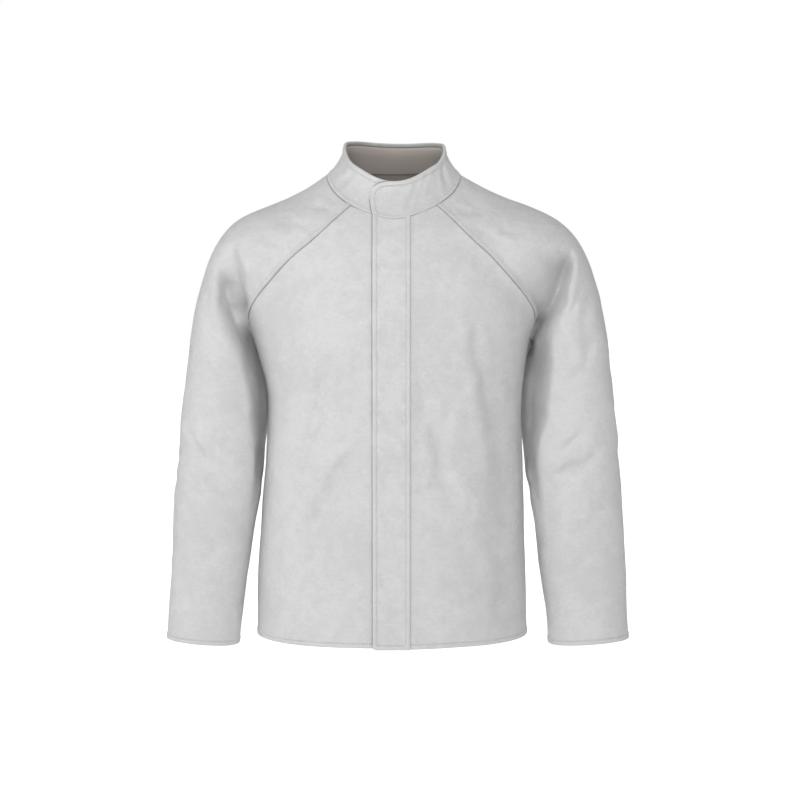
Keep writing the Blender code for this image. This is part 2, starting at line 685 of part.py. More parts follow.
def collar_point(angle, height, lift):
    """A place on the collar band: height 0 is the neck seam and 1 the rim; lift moves out."""
    base, rim = neck_ring(angle), rim_ring(angle)
    level = base[..., 2:] + (rim[..., 2:] - base[..., 2:]) * height[..., None]
    plan = rim[..., :2] + (base[..., :2] - rim[..., :2]) * collar_flare(height)[..., None]
    outwards = np.stack([np.sin(angle), -np.cos(angle) * NECK_HALF_WIDTH / NECK_HALF_DEPTH,
                         np.zeros_like(angle)], axis=-1)
    return np.concatenate([plan, level], axis=-1) + unit(outwards) * lift[..., None]


def collar_angle(x, height):
    """The angle at which the band has the given x near the middle front, at each height."""
    flare = collar_flare(height)
    half_width = RIM_HALF_WIDTH + (NECK_HALF_WIDTH - RIM_HALF_WIDTH) * flare
    middle = RIM_SHIFT_X + (NECK_SHIFT_X - RIM_SHIFT_X) * flare
    return np.arcsin((x - middle) / half_width)


def collar_grid():
    """The collar band: it starts under its own free end, goes once round the neck by the right
    side and the back, and laps over its start up to an upright free end, whose upper corner is
    rounded."""
    height = np.linspace(0, 1, COLLAR_CELLS_UP + 1)
    start = collar_angle(COLLAR_UNDER_END_X, 0.0)
    once_round = 2 * math.pi - COLLAR_END_GAP / NECK_HALF_DEPTH
    corner = np.sin(np.linspace(0, math.pi / 2, COLLAR_CORNER_CELLS + 1)[1:])
    lap = 2 * math.pi + start - collar_angle(COLLAR_OVER_END_X, height) - once_round
    corner_share = COLLAR_CORNER / (lap[0] * NECK_HALF_WIDTH)
    share = np.concatenate([np.linspace(0, 1 - corner_share, COLLAR_LAP_CELLS + 1)[1:],
                            1 - corner_share * (1 - corner)])
    round_travel = np.linspace(0, once_round, COLLAR_CELLS_ROUND + 1)
    travel = np.concatenate([np.repeat(round_travel[:, None], len(height), axis=1),
                             once_round + share[:, None] * lap])
    to_go = (once_round - travel) * NECK_HALF_WIDTH
    lift = (LEATHER + 2 * SEAM_GAP) * (1 - smoothstep(0.0, COLLAR_LIFT_LENGTH, to_go))
    cut = np.zeros(len(travel))
    cut[-COLLAR_CORNER_CELLS:] = COLLAR_CORNER / COLLAR_FRONT_HEIGHT * (
        1 - np.sqrt(1 - corner ** 2))
    points = collar_point(start - travel, height * (1 - cut[:, None]), lift)
    points[..., 2] += SEAM_GAP
    return points, COLLAR_CELLS_ROUND + 1


def moved_in(outer, normal, depth):
    """The collar's grid moved in by a depth, its lower edge cut level on the neck seam."""
    inner = outer - normal * depth
    inner[:, 0, 2] = outer[:, 0, 2]
    return inner


def build_collar(collection):
    """The collar's leather band and the lining inside its one turn round the neck."""
    outer, round_rows = collar_grid()
    normal = normals(outer, 1)
    inner = moved_in(outer, normal, LEATHER)
    add(collection, "collar", wall_mesh("collar", outer, inner, 1), leather("collar"))
    depth = LEATHER + 2 * SEAM_GAP
    face = moved_in(outer, normal, depth)[:round_rows]
    back = moved_in(outer, normal, depth + LINING)[:round_rows]
    for grid in (face, back):
        grid[:, -1] -= unit(grid[:, -1] - grid[:, -2]) * RIM_TUCK
    add(collection, "collar_lining", wall_mesh("collar_lining", face, back, 1),
        lining("collar_lining"))


def build_neck_lining(collection, back):
    """The lining under the inside neck seam: the back's points at the neck, moved in."""
    middle = BACK_CELLS_ACROSS // 2
    half = NECK_LINING_CELLS_ACROSS // 2
    rows = slice(-1 - NECK_LINING_DEPTH_ROWS, None)
    across = slice(middle - half, middle + half + 1)
    points = back.points[rows, across].copy()
    points[-1] -= unit(points[-1] - points[-2]) * (LEATHER + SEAM_GAP)
    normal = back.normal[rows, across]
    face = points - normal * (LEATHER + 2 * SEAM_GAP)
    add(collection, "neck_lining", wall_mesh("neck_lining", face, face - normal * LINING, -1),
        lining("neck_lining"))


def main():
    """Clears the scene and builds the jacket."""
    for old in list(bpy.data.objects):
        bpy.data.objects.remove(old, do_unlink=True)
    collection = bpy.data.collections.new(COLLECTION)
    bpy.context.scene.collection.children.link(collection)
    made = shaped()
    for name, cloth in made.items():
        outer = cloth.points + cloth.shift
        inner = outer - cloth.normal * (LEATHER * cloth.mitre)[..., None]
        mesh = wall_mesh(name, outer, inner, cloth.outward, cloth.closed)
        add(collection, name, mesh, leather(name))
    outer, inner = placket_grids(made["front_right"], made["front_left"])
    add(collection, "placket", wall_mesh("placket", outer, inner, 1), leather("placket"))
    build_collar(collection)
    build_neck_lining(collection, made["back"])


main()
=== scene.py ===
"""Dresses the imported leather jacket: thin leather shells with creases and rolled edges,
topstitching, linings and a plain studio stage.

Metres, +Z up, the front faces -Y and the wearer's right arm is at -X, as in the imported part. Every
shell is worked out from the same tables as the part's solids, on a finer grid.
"""

import math

import bpy
import numpy as np
from bpy.props import FloatProperty, FloatVectorProperty, PointerProperty
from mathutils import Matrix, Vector


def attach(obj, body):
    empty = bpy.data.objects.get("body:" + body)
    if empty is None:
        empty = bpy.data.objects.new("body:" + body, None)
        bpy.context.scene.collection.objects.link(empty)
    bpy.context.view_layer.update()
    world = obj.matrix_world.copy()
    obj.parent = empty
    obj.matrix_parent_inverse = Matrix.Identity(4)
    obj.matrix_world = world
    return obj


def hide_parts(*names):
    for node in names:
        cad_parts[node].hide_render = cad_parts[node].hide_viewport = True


bl_info = {
    "name": "Leather Jacket Dressing",
    "version": (1, 0, 0),
    "blender": (4, 5, 0),
    "location": "View3D > Sidebar > Jacket",
    "description": "Leather shells, stitching, linings and a studio stage for the packed jacket",
    "category": "Object",
}

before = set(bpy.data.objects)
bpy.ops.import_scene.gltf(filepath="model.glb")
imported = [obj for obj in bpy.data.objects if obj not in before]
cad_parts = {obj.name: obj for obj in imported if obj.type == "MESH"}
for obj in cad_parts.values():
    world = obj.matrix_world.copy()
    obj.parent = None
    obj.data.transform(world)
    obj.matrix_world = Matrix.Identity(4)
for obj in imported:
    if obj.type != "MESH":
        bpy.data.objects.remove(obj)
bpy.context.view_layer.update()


def table(names, *rows, scale=1000):
    """Rows as named values, with their numbers divided by the scale, so that lengths are given
    in millimetres. A word among the rows is the first value of those that follow it."""
    made, first = [], ()
    for row in rows:
        if isinstance(row, str):
            first = (row,)
        else:
            made.append(dict(zip(names.split(), first + tuple(value / scale for value in row))))
    return made


# Levels and the centre front
HEM_Z = -0.686
UNDERARM_Z = -0.246
PLACKET_DROP = 0.0022
HEM_MEETS_PLACKET_OVER = 0.110
FRONTS_MEET_X = 0.0150
PLACKET_FREE_EDGE_X = -0.0276
PLACKET_SEWN_EDGE_X = 0.0268

# The cut of the torso, and how its rows and the sleeves' are drawn on to the neck
TORSO_FULLNESS = 0.045
TORSO_SQUARE = 0.86
FULLNESS_ENDS_V = 1.7
NECK_DRAW_V = 1.55
NECK_CENTRE_V = 1.4
LARGEST_TURN_SHARE = 0.98
SLEEVE_OPENS_OVER = 0.012
SLEEVE_SQUARE = 0.76

# Seams
SEAM_GAP = 0.0003
SEAM_EASE_LENGTH = 0.030
SEAM_SLOPE_AT = 0.004
EASE_FROM, EASE_FULL = 0.10, 0.45
LEAST_LEAN = 0.45
UNDERARM_MITRE = 1.4
# About the underarm the shells are thinner, so that their inner surfaces stay inside
UNDERARM_THINNER = 0.6
LEAST_WALL = 0.0009
UNDERARM_REACH = 0.020

# The torso at its side seams, hem to underarm
TORSO = table(
    "z right_x left_x",
    (-686, -203.5, 204),
    (-629, -202.5, 202.5),
    (-576, -200.5, 200.5),
    (-516, -196.5, 198.5),
    (-430, -190, 195.7),
    (-366, -186.8, 194.2),
    (-328, -186.2, 194.5),
    (-291, -193, 197.5),
    (-246, -204.5, 204.5),
)

# The middle of the front and of the back, hem to neck
MIDDLE = table(
    "z front_y back_y",
    (-686, -137, 122),
    (-576, -134, 117),
    (-460, -129, 108),
    (-366, -128.5, 104),
    (-291, -133, 108),
    (-246, -135.5, 112),
    (-200, -134.5, 116),
    (-150, -129, 116),
    (-100, -116.5, 108),
    (-61, -97, 97),
    (-30, -85, 85.5),
    (3, -70, 73),
)

# The raglan seams and the shoulder line, underarm to neck, for one side (x outwards)
RAGLAN = table(
    "front_x front_y front_z back_x back_y back_z shoulder_right_x shoulder_left_x shoulder_z "
    "half_depth",
    (204.5, 0, -246, 204.5, 0, -246, 299.5, 320.5, -236, 78),
    (208.5, -18, -231, 207, 24, -229, 294.5, 314, -206, 79),
    (211.5, -37, -212.5, 205.5, 47, -206, 288, 308, -178, 80),
    (207, -56, -196, 197.5, 66, -179, 280, 300, -150, 81),
    (193, -75, -175.5, 184, 81, -153, 269.5, 288.5, -120, 84),
    (168, -90, -146.5, 165, 90, -124, 252, 270.5, -90, 90),
    (142, -97.5, -119, 140, 94, -93, 226, 242.5, -65.5, 96),
    (117, -98.5, -97.5, 113, 92, -62, 186, 202, -48, 96),
    (89, -93, -71, 82, 81, -28, 140, 150, -29, 90),
    (62.1, -79.1, -46.9, 52, 60.9, 2, 99, 99, -3, 80),
)
# How far a sleeve turns round its row from seam to seam, halved, in degrees
RAGLAN_TURNS = (180, 164, 148, 131, 112, 96, 85, 77, 71, 67)

# The sleeves below the armhole, cuff to just under the arm
SLEEVE = table(
    "outer_z outer_right_x outer_left_x inner_z inner_right_x inner_left_x middle_y "
    "half_depth",
    (-690, 337.5, 355.5, -698.5, 229, 235, -22, 49),
    (-640, 334, 352, -645, 222.5, 230, -20, 52),
    (-580, 330.5, 349.5, -584, 215, 221.5, -17, 56),
    (-518, 327.5, 346.5, -521, 205.5, 214, -14, 60),
    (-456, 323.5, 342.5, -458, 196, 204, -10, 64),
    (-396, 318.5, 338, -397, 192.5, 199, -6, 68),
    (-336, 312, 332, -336, 190.5, 198.5, -3, 72),
    (-283, 305.5, 326, -286, 198.5, 202.5, -1, 75.5),
)

# The collar: where it is sewn on, and its rim; forward is 1 in front and -1 behind
NECK_HALF_WIDTH = 0.0990
NECK_HALF_DEPTH = 0.085
NECK_SHIFT_X = 0.003
NECK_MIDDLE_Y = -0.012
NECK_LEVEL = table(
    "forward z",
    (-1.000, 0.0030),
    (-0.866, 0.0042),
    (-0.500, 0.0040),
    (0.000, -0.0030),
    (0.438, -0.0247),
    (0.766, -0.0453),
    (1.000, -0.0613),
    scale=1,
)
RIM_HALF_WIDTH = 0.0755
RIM_HALF_DEPTH = 0.067
RIM_MIDDLE_Y = -0.009
RIM_SHIFT_X = 0.0040
RIM_LEVEL = table(
    "forward z",
    (-1.000, 0.0482),
    (-0.750, 0.0495),
    (-0.450, 0.0485),
    (-0.200, 0.0457),
    (0.000, 0.0397),
    (0.250, 0.0298),
    (0.500, 0.0172),
    (0.755, 0.0061),
    (0.900, -0.0034),
    (1.000, -0.0120),
    scale=1,
)
RIM_TILT = 0.0014
COLLAR_FLARE = 1.8
COLLAR_UNDER_END_X = 0.014
COLLAR_OVER_END_X = -0.0272
COLLAR_END_GAP = 0.0010
COLLAR_LIFT_LENGTH = 0.030
COLLAR_CORNER = 0.034
COLLAR_CORNER_HEIGHT = 0.026
COLLAR_CORNER_ROWS = 37
# Rows of the band that may lie under its free end, and rows that the lap takes
COLLAR_UNDER_ROWS = 110
COLLAR_LAP_ROWS = 60
# Along the band: the part that lies under its corner is finer; points before it, in it, beyond
# it and on the straight part of the lap
COLLAR_FINE = (0.028, 0.062)
COLLAR_ROUND_POINTS = (13, 50, 240)
COLLAR_LAP_POINTS = 12
# How much thicker the band is above the roll of its rim
COLLAR_ROLL_THICKER = 0.0022
# The band's swells, rounded edges, and the dent in what lies under its free end
COLLAR_SWELL = 0.0007
COLLAR_EDGE_RADIUS, COLLAR_BASE_RADIUS = 0.0011, 0.0008
COLLAR_DENT, COLLAR_DENT_REACH = 0.0016, 0.0017
UNEVEN_COLLAR = ((0.020, 12, 0.00025),)
COLLAR_FRONT_HEIGHT = 0.052
COLLAR_STANDS_OFF = 0.0026
COLLAR_ROLL = 0.0058
# The painted shade under the roll, inside: its dark line is this much wider than a seam's, and
# darkens the roll towards its lower edge
ROLL_PAINTED_SHADE_SHARE = 0.20
# The lower edge of the band hangs over the top of the placket in front
COLLAR_HANGS = 0.0058
COLLAR_HANG_REACH = 0.036
COLLAR_HANG_SLOPE = 0.75

# The neck lining: rows of the back that it takes from the neck seam down, and half its width
NECK_LINING_ROWS = 29
NECK_LINING_HALF_WIDTH = 0.0312
# Painted shade over the whole strip, which lies in shade under the collar: given as if all of it
# lay this far from a seam's dark line
NECK_LINING_PAINTED_SHADE = 0.00070

# Which way each side of the jacket faces (axis and sign) and the two axes seen from it
SIDES = {"front": (1, -1, [0, 2]), "back": (1, 1, [0, 2]), "right": (0, -1, [1, 2]),
         "left": (0, 1, [1, 2])}
# FOLDS are in the part's solids too, and CREASES only in the shells: a soft trough (depth > 0)
# or ridge (depth < 0) along a curve through three places, seen from the side named; for the
# outside of a sleeve the x columns hold y
FOLD_NAMES = "side start_x start_z middle_x middle_z end_x end_z half_width depth"
FOLDS = table(
    FOLD_NAMES,
    "front",
    (102, -210, 120, -320, 142, -470, 12, -4),
    (-40, -380, -88, -468, -152, -575, 19, 10),
    (-92, -290, -118, -370, -142, -440, 17, 5),
    (58, -345, 70, -410, 96, -485, 12, 3),
    (-300, -395, -255, -430, -215, -440, 12, 4),
    (225, -455, 270, -440, 315, -405, 12, 4),
    "back",
    (-244, -130, -240, -205, -212, -310, 14, 13),
    (258, -115, 240, -190, 210, -300, 14, 14),
    (-175, -290, -120, -360, -40, -440, 18, 5),
    (175, -300, 125, -390, 50, -500, 18, 5),
    (-300, -385, -255, -425, -215, -445, 13, 4),
    (222, -450, 270, -430, 318, -390, 13, 4),
)
CREASES = table(
    FOLD_NAMES,
    "front",
    # sleeve heads
    (-256, -130, -254, -190, -236, -262, 9, -2.2),
    (281, -170, 285, -230, 280, -290, 10, 2.2),
    (272, -120, 262, -170, 246, -230, 6, -1.6),
    # elbows
    (-296, -360, -290, -400, -262, -440, 6, 2.2),
    (-288, -430, -262, -452, -232, -470, 6, 2.6),
    (-256, -393, -238, -400, -222, -405, 6, 1.8),
    (-258, -410, -240, -418, -224, -424, 6, -1.4),
    (-300, -480, -272, -520, -258, -560, 9, 1.4),
    (226, -400, 256, -400, 288, -370, 7, 2.4),
    (226, -420, 256, -420, 294, -394, 7, -1.6),
    (232, -438, 264, -432, 300, -410, 7, 1.8),
    (244, -550, 280, -520, 315, -490, 8, 1.4),
    (236, -600, 266, -580, 300, -560, 7, 1.2),
    # right front
    (-46, -385, -88, -445, -128, -535, 8, 1),
    (-60, -372, -104, -425, -132, -470, 10, 1.6),
    (-82, -262, -108, -330, -128, -420, 8, 2),
    (-154, -196, -150, -228, -146, -262, 7, 1.2),
    (-160, -606, -124, -606, -70, -590, 6, 0.9),
    (-150, -630, -110, -622, -50, -612, 6, 0.7),
    (-142, -360, -150, -420, -146, -480, 10, 1),
    # left front
    (117, -222, 126, -270, 142, -340, 9, 2.4),
    (152, -500, 158, -570, 162, -650, 12, 1.8),
    (52, -280, 43, -330, 40, -395, 9, 1.5),
    (54, -310, 67, -400, 94, -480, 11, 2),
    (78, -310, 82, -360, 94, -420, 9, 1),
    (36, -268, 38, -292, 40, -312, 4, 1),
    (100, -500, 112, -490, 122, -470, 6, 0.8),
    (40, -470, 60, -448, 74, -436, 6, 0.8),
    (120, -560, 128, -600, 126, -650, 9, 0.8),
    # shoulders near the collar
    (-120, -46, -96, -52, -76, -60, 5, 1.6),
    (-160, -70, -126, -76, -96, -76, 6, 1.4),
    (-205, -72, -180, -92, -160, -112, 8, 1),
    (90, -50, 112, -56, 135, -56, 5, 1.4),
    (150, -78, 176, -84, 200, -94, 7, 1.2),
    (120, -78, 136, -86, 155, -100, 6, 1),
    "back",
    # the back, much as the front
    (-160, -270, -110, -340, -50, -400, 7, 2),
    (165, -280, 120, -360, 60, -450, 7, 2.2),
    (-120, -420, -60, -480, 10, -520, 9, 1.4),
    (130, -470, 80, -540, 20, -590, 9, 1.4),
    (-150, -560, -146, -610, -150, -660, 10, 1.4),
    (140, -560, 146, -600, 144, -650, 9, 1.2),
    (-50, -100, 0, -112, 50, -102, 10, 1),
    (-100, -150, -70, -190, -60, -240, 10, 1),
    (105, -150, 78, -195, 66, -250, 10, 1),
    (-228, -105, -226, -150, -216, -195, 6, 3),
    (250, -110, 236, -155, 220, -200, 6, 3.4),
    (-258, -150, -252, -210, -234, -270, 7, -3.5),
    (270, -150, 258, -215, 240, -280, 8, -4),
    (-292, -395, -262, -420, -222, -430, 6, 2.4),
    (-296, -430, -262, -455, -222, -462, 6, 2.2),
    (222, -404, 262, -410, 310, -372, 6, 2.4),
    (226, -440, 262, -444, 312, -412, 6, 2.2),
    (250, -560, 286, -528, 318, -500, 8, 1.4),
    (-320, -520, -290, -550, -262, -590, 8, 1.4),
    (-190, -76, -160, -92, -140, -112, 8, 1),
    (190, -80, 162, -96, 142, -116, 8, 1),
    "right",
    # the outside of the sleeves
    (-60, -372, -10, -425, 45, -415, 12, 1.2),
    (-50, -440, 0, -462, 48, -482, 12, 1),
    (40, -300, 18, -350, -12, -390, 12, 1.2),
    (-50, -520, -30, -560, -22, -610, 9, 1.2),
    (30, -190, 24, -240, 30, -290, 12, 1.4),
    "left",
    (-60, -390, -12, -416, 44, -380, 12, 1.2),
    (-52, -430, -4, -446, 40, -474, 12, 1),
    (-40, -320, -14, -350, 14, -375, 12, 1.2),
    (30, -500, 12, -550, 10, -600, 9, 1.2),
    (-30, -200, -20, -250, -28, -300, 12, 1.4),
)

# Deep valleys of the front, pressed straight back: their two sides differ in width, the inner
# one being nearer the wearer's middle
VALLEYS = table(
    "piece start_x start_z middle_x middle_z end_x end_z inner_width outer_width depth",
    "sleeve_right",
    (-236, -98, -221.5, -150, -212.5, -225, 3.5, 26, 27),
    (-250, -125, -239, -197, -206, -275, 21, 5.5, 36),
    "sleeve_left",
    (264, -104, 241, -188, 203, -250, 26, 5.5, 58),
    (226, -205, 207.5, -250, 196, -310, 14, 6, 24),
    "front_left",
    (142, -235, 160, -420, 180, -670, 34, 40, 13),
)
VALLEY_SEAM_FADE = 0.008
VALLEY_SIDE_FADE = 0.040
VALLEY_CRISP = 1.3
VALLEY_SOFTENED = 2
# On a sleeve the valleys start over these v and end over these s
VALLEY_STARTS_V = (0.74, 0.92)
VALLEY_ENDS_S = (-0.35, -0.10)

# Folds: samples of a line, how far its bell reaches in half widths, its raised shoulders, how
# its line, width and depth vary, and how far the cloth must face the fold's side
FOLD_SAMPLES = 25
FOLD_REACH = 3.2
SHOULDER_SHARE = 0.28
FOLD_WANDERS, FOLD_WIDTH_VARIES, FOLD_DEPTH_VARIES = 0.35, 0.30, 0.25
FOLD_FACING = (0.05, 0.5)
# Folds that lie wholly further out than this belong to the sleeves, and leave the body smooth
SLEEVE_FOLDS_FROM_X = 0.195
# Unevenness of all the leather: cell, seed and depth
UNEVEN_LEATHER = ((0.060, 3, 0.0007), (0.024, 4, 0.00022))

# The slack of the sleeves under the arms: its width and depth, the v over which it widens,
# starts and ends, and the shares of its width over which it fades in front and behind
SLACK_WIDTHS = {"sleeve_right": 0.022, "sleeve_left": 0.034}
SLACK_DEPTH = 0.060
SLACK_WIDENS_V = (0.60, 0.72)
SLACK_STARTS_V, SLACK_ENDS_V = (0.38, 0.66), (0.85, 1.20)
SLACK_FADES_FRONT, SLACK_FADES_BEHIND = (0.40, 1.0), (0.0, 1.2)
# Over these v a sleeve's two edges part from each other and become seams
EDGES_PART_V = (0.86, 1.0)
# How far the slack leans towards the body, and where
SLACK_LEAN = 0.0065
SLACK_LEAN_REACH = 0.035
LEAN_STARTS_V, LEAN_ENDS_V = (0.60, 0.76), (0.80, 0.98)
# A sleeve's front half is pressed back by no more than this share of the way to its back half
PRESS_SHARE = 0.62
# The rows about the underarm are evened out, and the points of these rows kept outwards
EVEN_REACH_V = 0.09
EVEN_TIMES = 90
KEPT_STARTS_V, KEPT_ENDS_V = (0.75, 0.85), (1.10, 1.20)

# The placket: how far its top stops short of the neck, how its top edge is tucked in, and how
# its lower free corner is drawn up
PLACKET_TOP_SHORT = 0.0024
PLACKET_TUCK = 0.0018
PLACKET_TUCK_REACH = 0.0022
PLACKET_CORNER = 0.0022
PLACKET_EDGE_RADIUS = 0.0010
# How far it stands off the fronts at its sewn edge, and how much more at its free edge
PLACKET_STANDS_OFF, PLACKET_LIFTS = 0.0003, 0.0006
UNEVEN_PLACKET = ((0.012, 8, 0.00012),)
# Soft dents pressed into the placket by the hidden fastenings: middle x and z, half width,
# half height and depth
PLACKET_DENTS = table(
    "x z half_width half_height depth",
    (-4, -128, 11, 6, 1),
    (-6, -235, 10, 12, 1.2),
    (-4, -312, 12, 6, 1.4),
    (-6, -352, 11, 6, 1.2),
    (-2, -394, 12, 6, 1.4),
    (-6, -448, 11, 5, 1),
    (-4, -496, 12, 6, 1.4),
    (-8, -546, 10, 5, 1),
    (-4, -588, 12, 6, 1.2),
    (2, -634, 11, 5, 0.9),
)

# The stage: the floor's extent, the lights' azimuth and lift in degrees, what they aim at and
# from how far, and the camera's aim, distance, lift, sensor (mm) and image; a pixel shows 1.5 mm
FLOOR_X, FLOOR_Y = (-14, 14), (-8, 24)
LIGHTS = {"side_light": (-65, 10), "top_light": (0, 35)}
LIGHTS_AIM, LIGHTS_AWAY, LIGHT_SIZE = (0.01, 0, -0.32), 2.8, 2.0
CAMERA_AIM, CAMERA_AWAY, CAMERA_LIFT = (0.012, 0, -0.336), 3.0, 4.5
SENSOR, IMAGE_PIXELS, PIXEL = 36, 800, 0.0015

# Stitch rows: distance from the seam or edge in metres
RAGLAN_ROWS = (0.0024, 0.0066)
HEM_ROW = 0.0068
CUFF_ROW = 0.0070
PLACKET_FREE_ROW = 0.0060
PLACKET_SEWN_ROW = 0.0064
COLLAR_RIM_ROW = 0.0068
COLLAR_BASE_ROW = 0.0058
# How the leather's finish is told of them: a single row lies at this distance, and a double
# seam has the raglan seam's rows
SINGLE_ROW = 0.0064
FAR_FROM_SEAMS = 0.05
# One stitch: a bead of five rings of six points, by their place along it, thickness and sinking
BEAD_ALONG = np.array([-1.0, -0.72, 0.0, 0.72, 1.0])
BEAD_THICK = np.array([0.45, 0.95, 1.0, 0.95, 0.45])
BEAD_SINKS = np.array([-0.9, 0.05, 0.35, 0.05, -0.9])
BEAD_SIDES = 6

# Relief beside seams: how wide the dip is and where the swell of the allowance starts, the
# depth, width and two lengths of the puckers at a stitch row
DIP_WIDTH = 0.0011
SWELL_FROM = 0.0014
SWELL_WITHOUT_ROWS = 0.004
PUCKER_DEPTH = 0.00014
PUCKER_WIDTH = 0.0035
PUCKER_LENGTHS = (0.0095, 0.0157)
# Depths of the dips and swells of each seam, and how deep the fronts lie under the placket
HEM_SWELL, PLACKET_HEM_SWELL = 0.0006, 0.0004
NECK_DIP = 0.0012
SIDE_DIP = 0.0010
RAGLAN_DIP, RAGLAN_SWELL = 0.0004, 0.0009
RIGHT_UNDER_PLACKET, LEFT_UNDER_PLACKET = 0.0014, 0.0016
HEM_DROP_AT_PLACKET = 0.0017

# Grids: the length that the rows or columns share out, their first and their widest step
ROWS_BELOW = (UNDERARM_Z - HEM_Z, 0.0004, 0.0033)
ROWS_ABOVE = (0.36, 0.0004, 0.0031)
FRONT_ACROSS = (0.20, 0.0005, 0.0028)
BACK_ACROSS = (0.42, 0.0005, 0.0031)
SLEEVE_ROUND = (0.33, 0.0005, 0.0030)
PLACKET_ACROSS = (PLACKET_SEWN_EDGE_X - PLACKET_FREE_EDGE_X, 0.00022, 0.0014)
COLLAR_UP = (0.055, 0.00025, 0.0016)
# Distances over which a line of painted shade at a seam or edge, a groove and its puckers fade,
# for the finishes
PAINTED_SHADE_LINE_FADES = (0.0003, 0.0013)
GROOVE_FADES = (0.0, 0.0009)
PUCKER_FADES = (0.0005, 0.006)
# Cells of the lattice of random values behind the uneven leather, and a shift that keeps the
# places on it positive
NOISE_CELLS, NOISE_SHIFT = 64, 1000.0


# ---------------------------------------------------------------------------------- curves

def spline(knots, values, at):
    """Natural cubic curve through the rows of values at the knots, read at the places given."""
    knots = np.asarray(knots, float)
    values = np.asarray(values, float)
    at = np.asarray(at, float)
    step = np.diff(knots)
    count = len(knots)
    system = np.eye(count)
    right = np.zeros((count,) + values.shape[1:])
    slope = (values[1:] - values[:-1]) / step.reshape((-1,) + (1,) * (values.ndim - 1))
    for i in range(1, count - 1):
        system[i, i - 1:i + 2] = step[i - 1], 2 * (step[i - 1] + step[i]), step[i]
        right[i] = 6 * (slope[i] - slope[i - 1])
    bend = np.linalg.solve(system, right)
    cell = np.clip(np.searchsorted(knots, at, side="right") - 1, 0, count - 2)
    shape = at.shape + (1,) * (values.ndim - 1)
    width = step[cell].reshape(shape)
    b = (at - knots[cell]).reshape(shape) / width
    a = 1 - b
    curve = a * values[cell] + b * values[cell + 1]
    return curve + ((a ** 3 - a) * bend[cell] + (b ** 3 - b) * bend[cell + 1]) * width ** 2 / 6


def column(rows, name):
    """One named column of a table as an array."""
    return np.array([row[name] for row in rows])


def columns(rows, *names):
    """Several named columns of a table, side by side."""
    return np.stack([column(rows, name) for name in names], axis=-1)


def curve(rows, along, name, at):
    """One named column of a table as a smooth curve over another."""
    return spline(column(rows, along), column(rows, name), at)


def smoothstep(low, high, value):
    """0 below low, 1 above high, and an even S between them."""
    t = np.clip((value - low) / (high - low), 0, 1)
    return t * t * (3 - 2 * t)


def hump(rise, fall, value):
    """0 at both ends and 1 between: it rises over one range and falls over the other."""
    return smoothstep(*rise, value) * (1 - smoothstep(*fall, value))


def unit(vectors):
    """Vectors scaled to length 1."""
    return vectors / np.maximum(np.linalg.norm(vectors, axis=-1, keepdims=True), 1e-12)


def graded(length, first, widest, ends=(True, True), growth=1.45):
    """Places from 0 to 1 along a length: the steps grow from `first` at the chosen ends to
    `widest` between them."""
    steps = first * growth ** np.arange(40)
    fine = np.concatenate([[0.0], np.cumsum(steps[steps < widest])])
    low = fine if ends[0] else fine[:1]
    high = length - (fine if ends[1] else fine[:1])[::-1]
    count = max(2, int(round((high[0] - low[-1]) / widest)) + 1)
    return np.concatenate([low[:-1], np.linspace(low[-1], high[0], count), high[1:]]) / length


def soft_noise(points, cell, seed):
    """Smooth noise from -1 to 1: random values on a cubic lattice with the given cell, blended
    by an S curve along each axis."""
    place = points / cell + NOISE_SHIFT
    whole = np.floor(place).astype(int)
    part = place - whole
    part = part * part * (3 - 2 * part)
    values = np.random.default_rng(seed).random((NOISE_CELLS,) * 3)
    total = np.zeros(points.shape[:-1])
    for corner in np.ndindex(2, 2, 2):
        corner = np.array(corner)
        weight = np.abs(1 - corner - part).prod(axis=-1)
        total += weight * values[tuple(np.moveaxis((whole + corner) % NOISE_CELLS, -1, 0))]
    return total * 2 - 1


# --------------------------------------------------------------------------- the jacket's form

def neck_ring(angle):
    """Where the collar is sewn on, by the angle from the middle front: an ellipse seen from
    above, low in front."""
    forward = np.cos(angle)
    return np.stack([NECK_SHIFT_X + NECK_HALF_WIDTH * np.sin(angle),
                     NECK_MIDDLE_Y - NECK_HALF_DEPTH * forward,
                     curve(NECK_LEVEL, "forward", "z", forward)], axis=-1)


def rim_ring(angle):
    """The collar's rim, by the same angle; behind the front it is tilted a little sideways."""
    forward = np.cos(angle)
    level = curve(RIM_LEVEL, "forward", "z", forward)
    level = level - RIM_TILT * np.sin(angle) * (1 - smoothstep(0.0, 0.9, forward))
    return np.stack([RIM_SHIFT_X + RIM_HALF_WIDTH * np.sin(angle),
                     RIM_MIDDLE_Y - RIM_HALF_DEPTH * forward, level], axis=-1)


def raglan(side, names, station):
    """Named raglan columns as a curve over the stations 0 (underarm) to 9 (neck); x is turned
    to the side given (-1 right, 1 left)."""
    line = spline(np.arange(len(RAGLAN)), columns(RAGLAN, *names), station)
    line[..., 0] *= side
    return line


def neck_angles():
    """The angles on the neck ring where the front and back raglan seams reach it."""
    front = math.asin(RAGLAN[-1]["front_x"] / NECK_HALF_WIDTH)
    back = math.pi - math.asin(RAGLAN[-1]["back_x"] / NECK_HALF_WIDTH)
    return front, back


def torso_edge(side, face, v):
    """The edge of a front (face -1) or of the back (face 1) in each row: the side seam for v up
    to 1, then the raglan seam up to the neck at 2."""
    z = HEM_Z + np.clip(v, 0, 1) * (UNDERARM_Z - HEM_Z)
    x = curve(TORSO, "z", "right_x" if side < 0 else "left_x", z)
    seam = np.stack([x, np.zeros_like(x), z], axis=-1)
    start = "front_" if face < 0 else "back_"
    station = np.clip(v - 1, 0, 1) * (len(RAGLAN) - 1)
    above = raglan(side, (start + "x", start + "y", start + "z"), station)
    return np.where((v > 1)[..., None], above, seam)


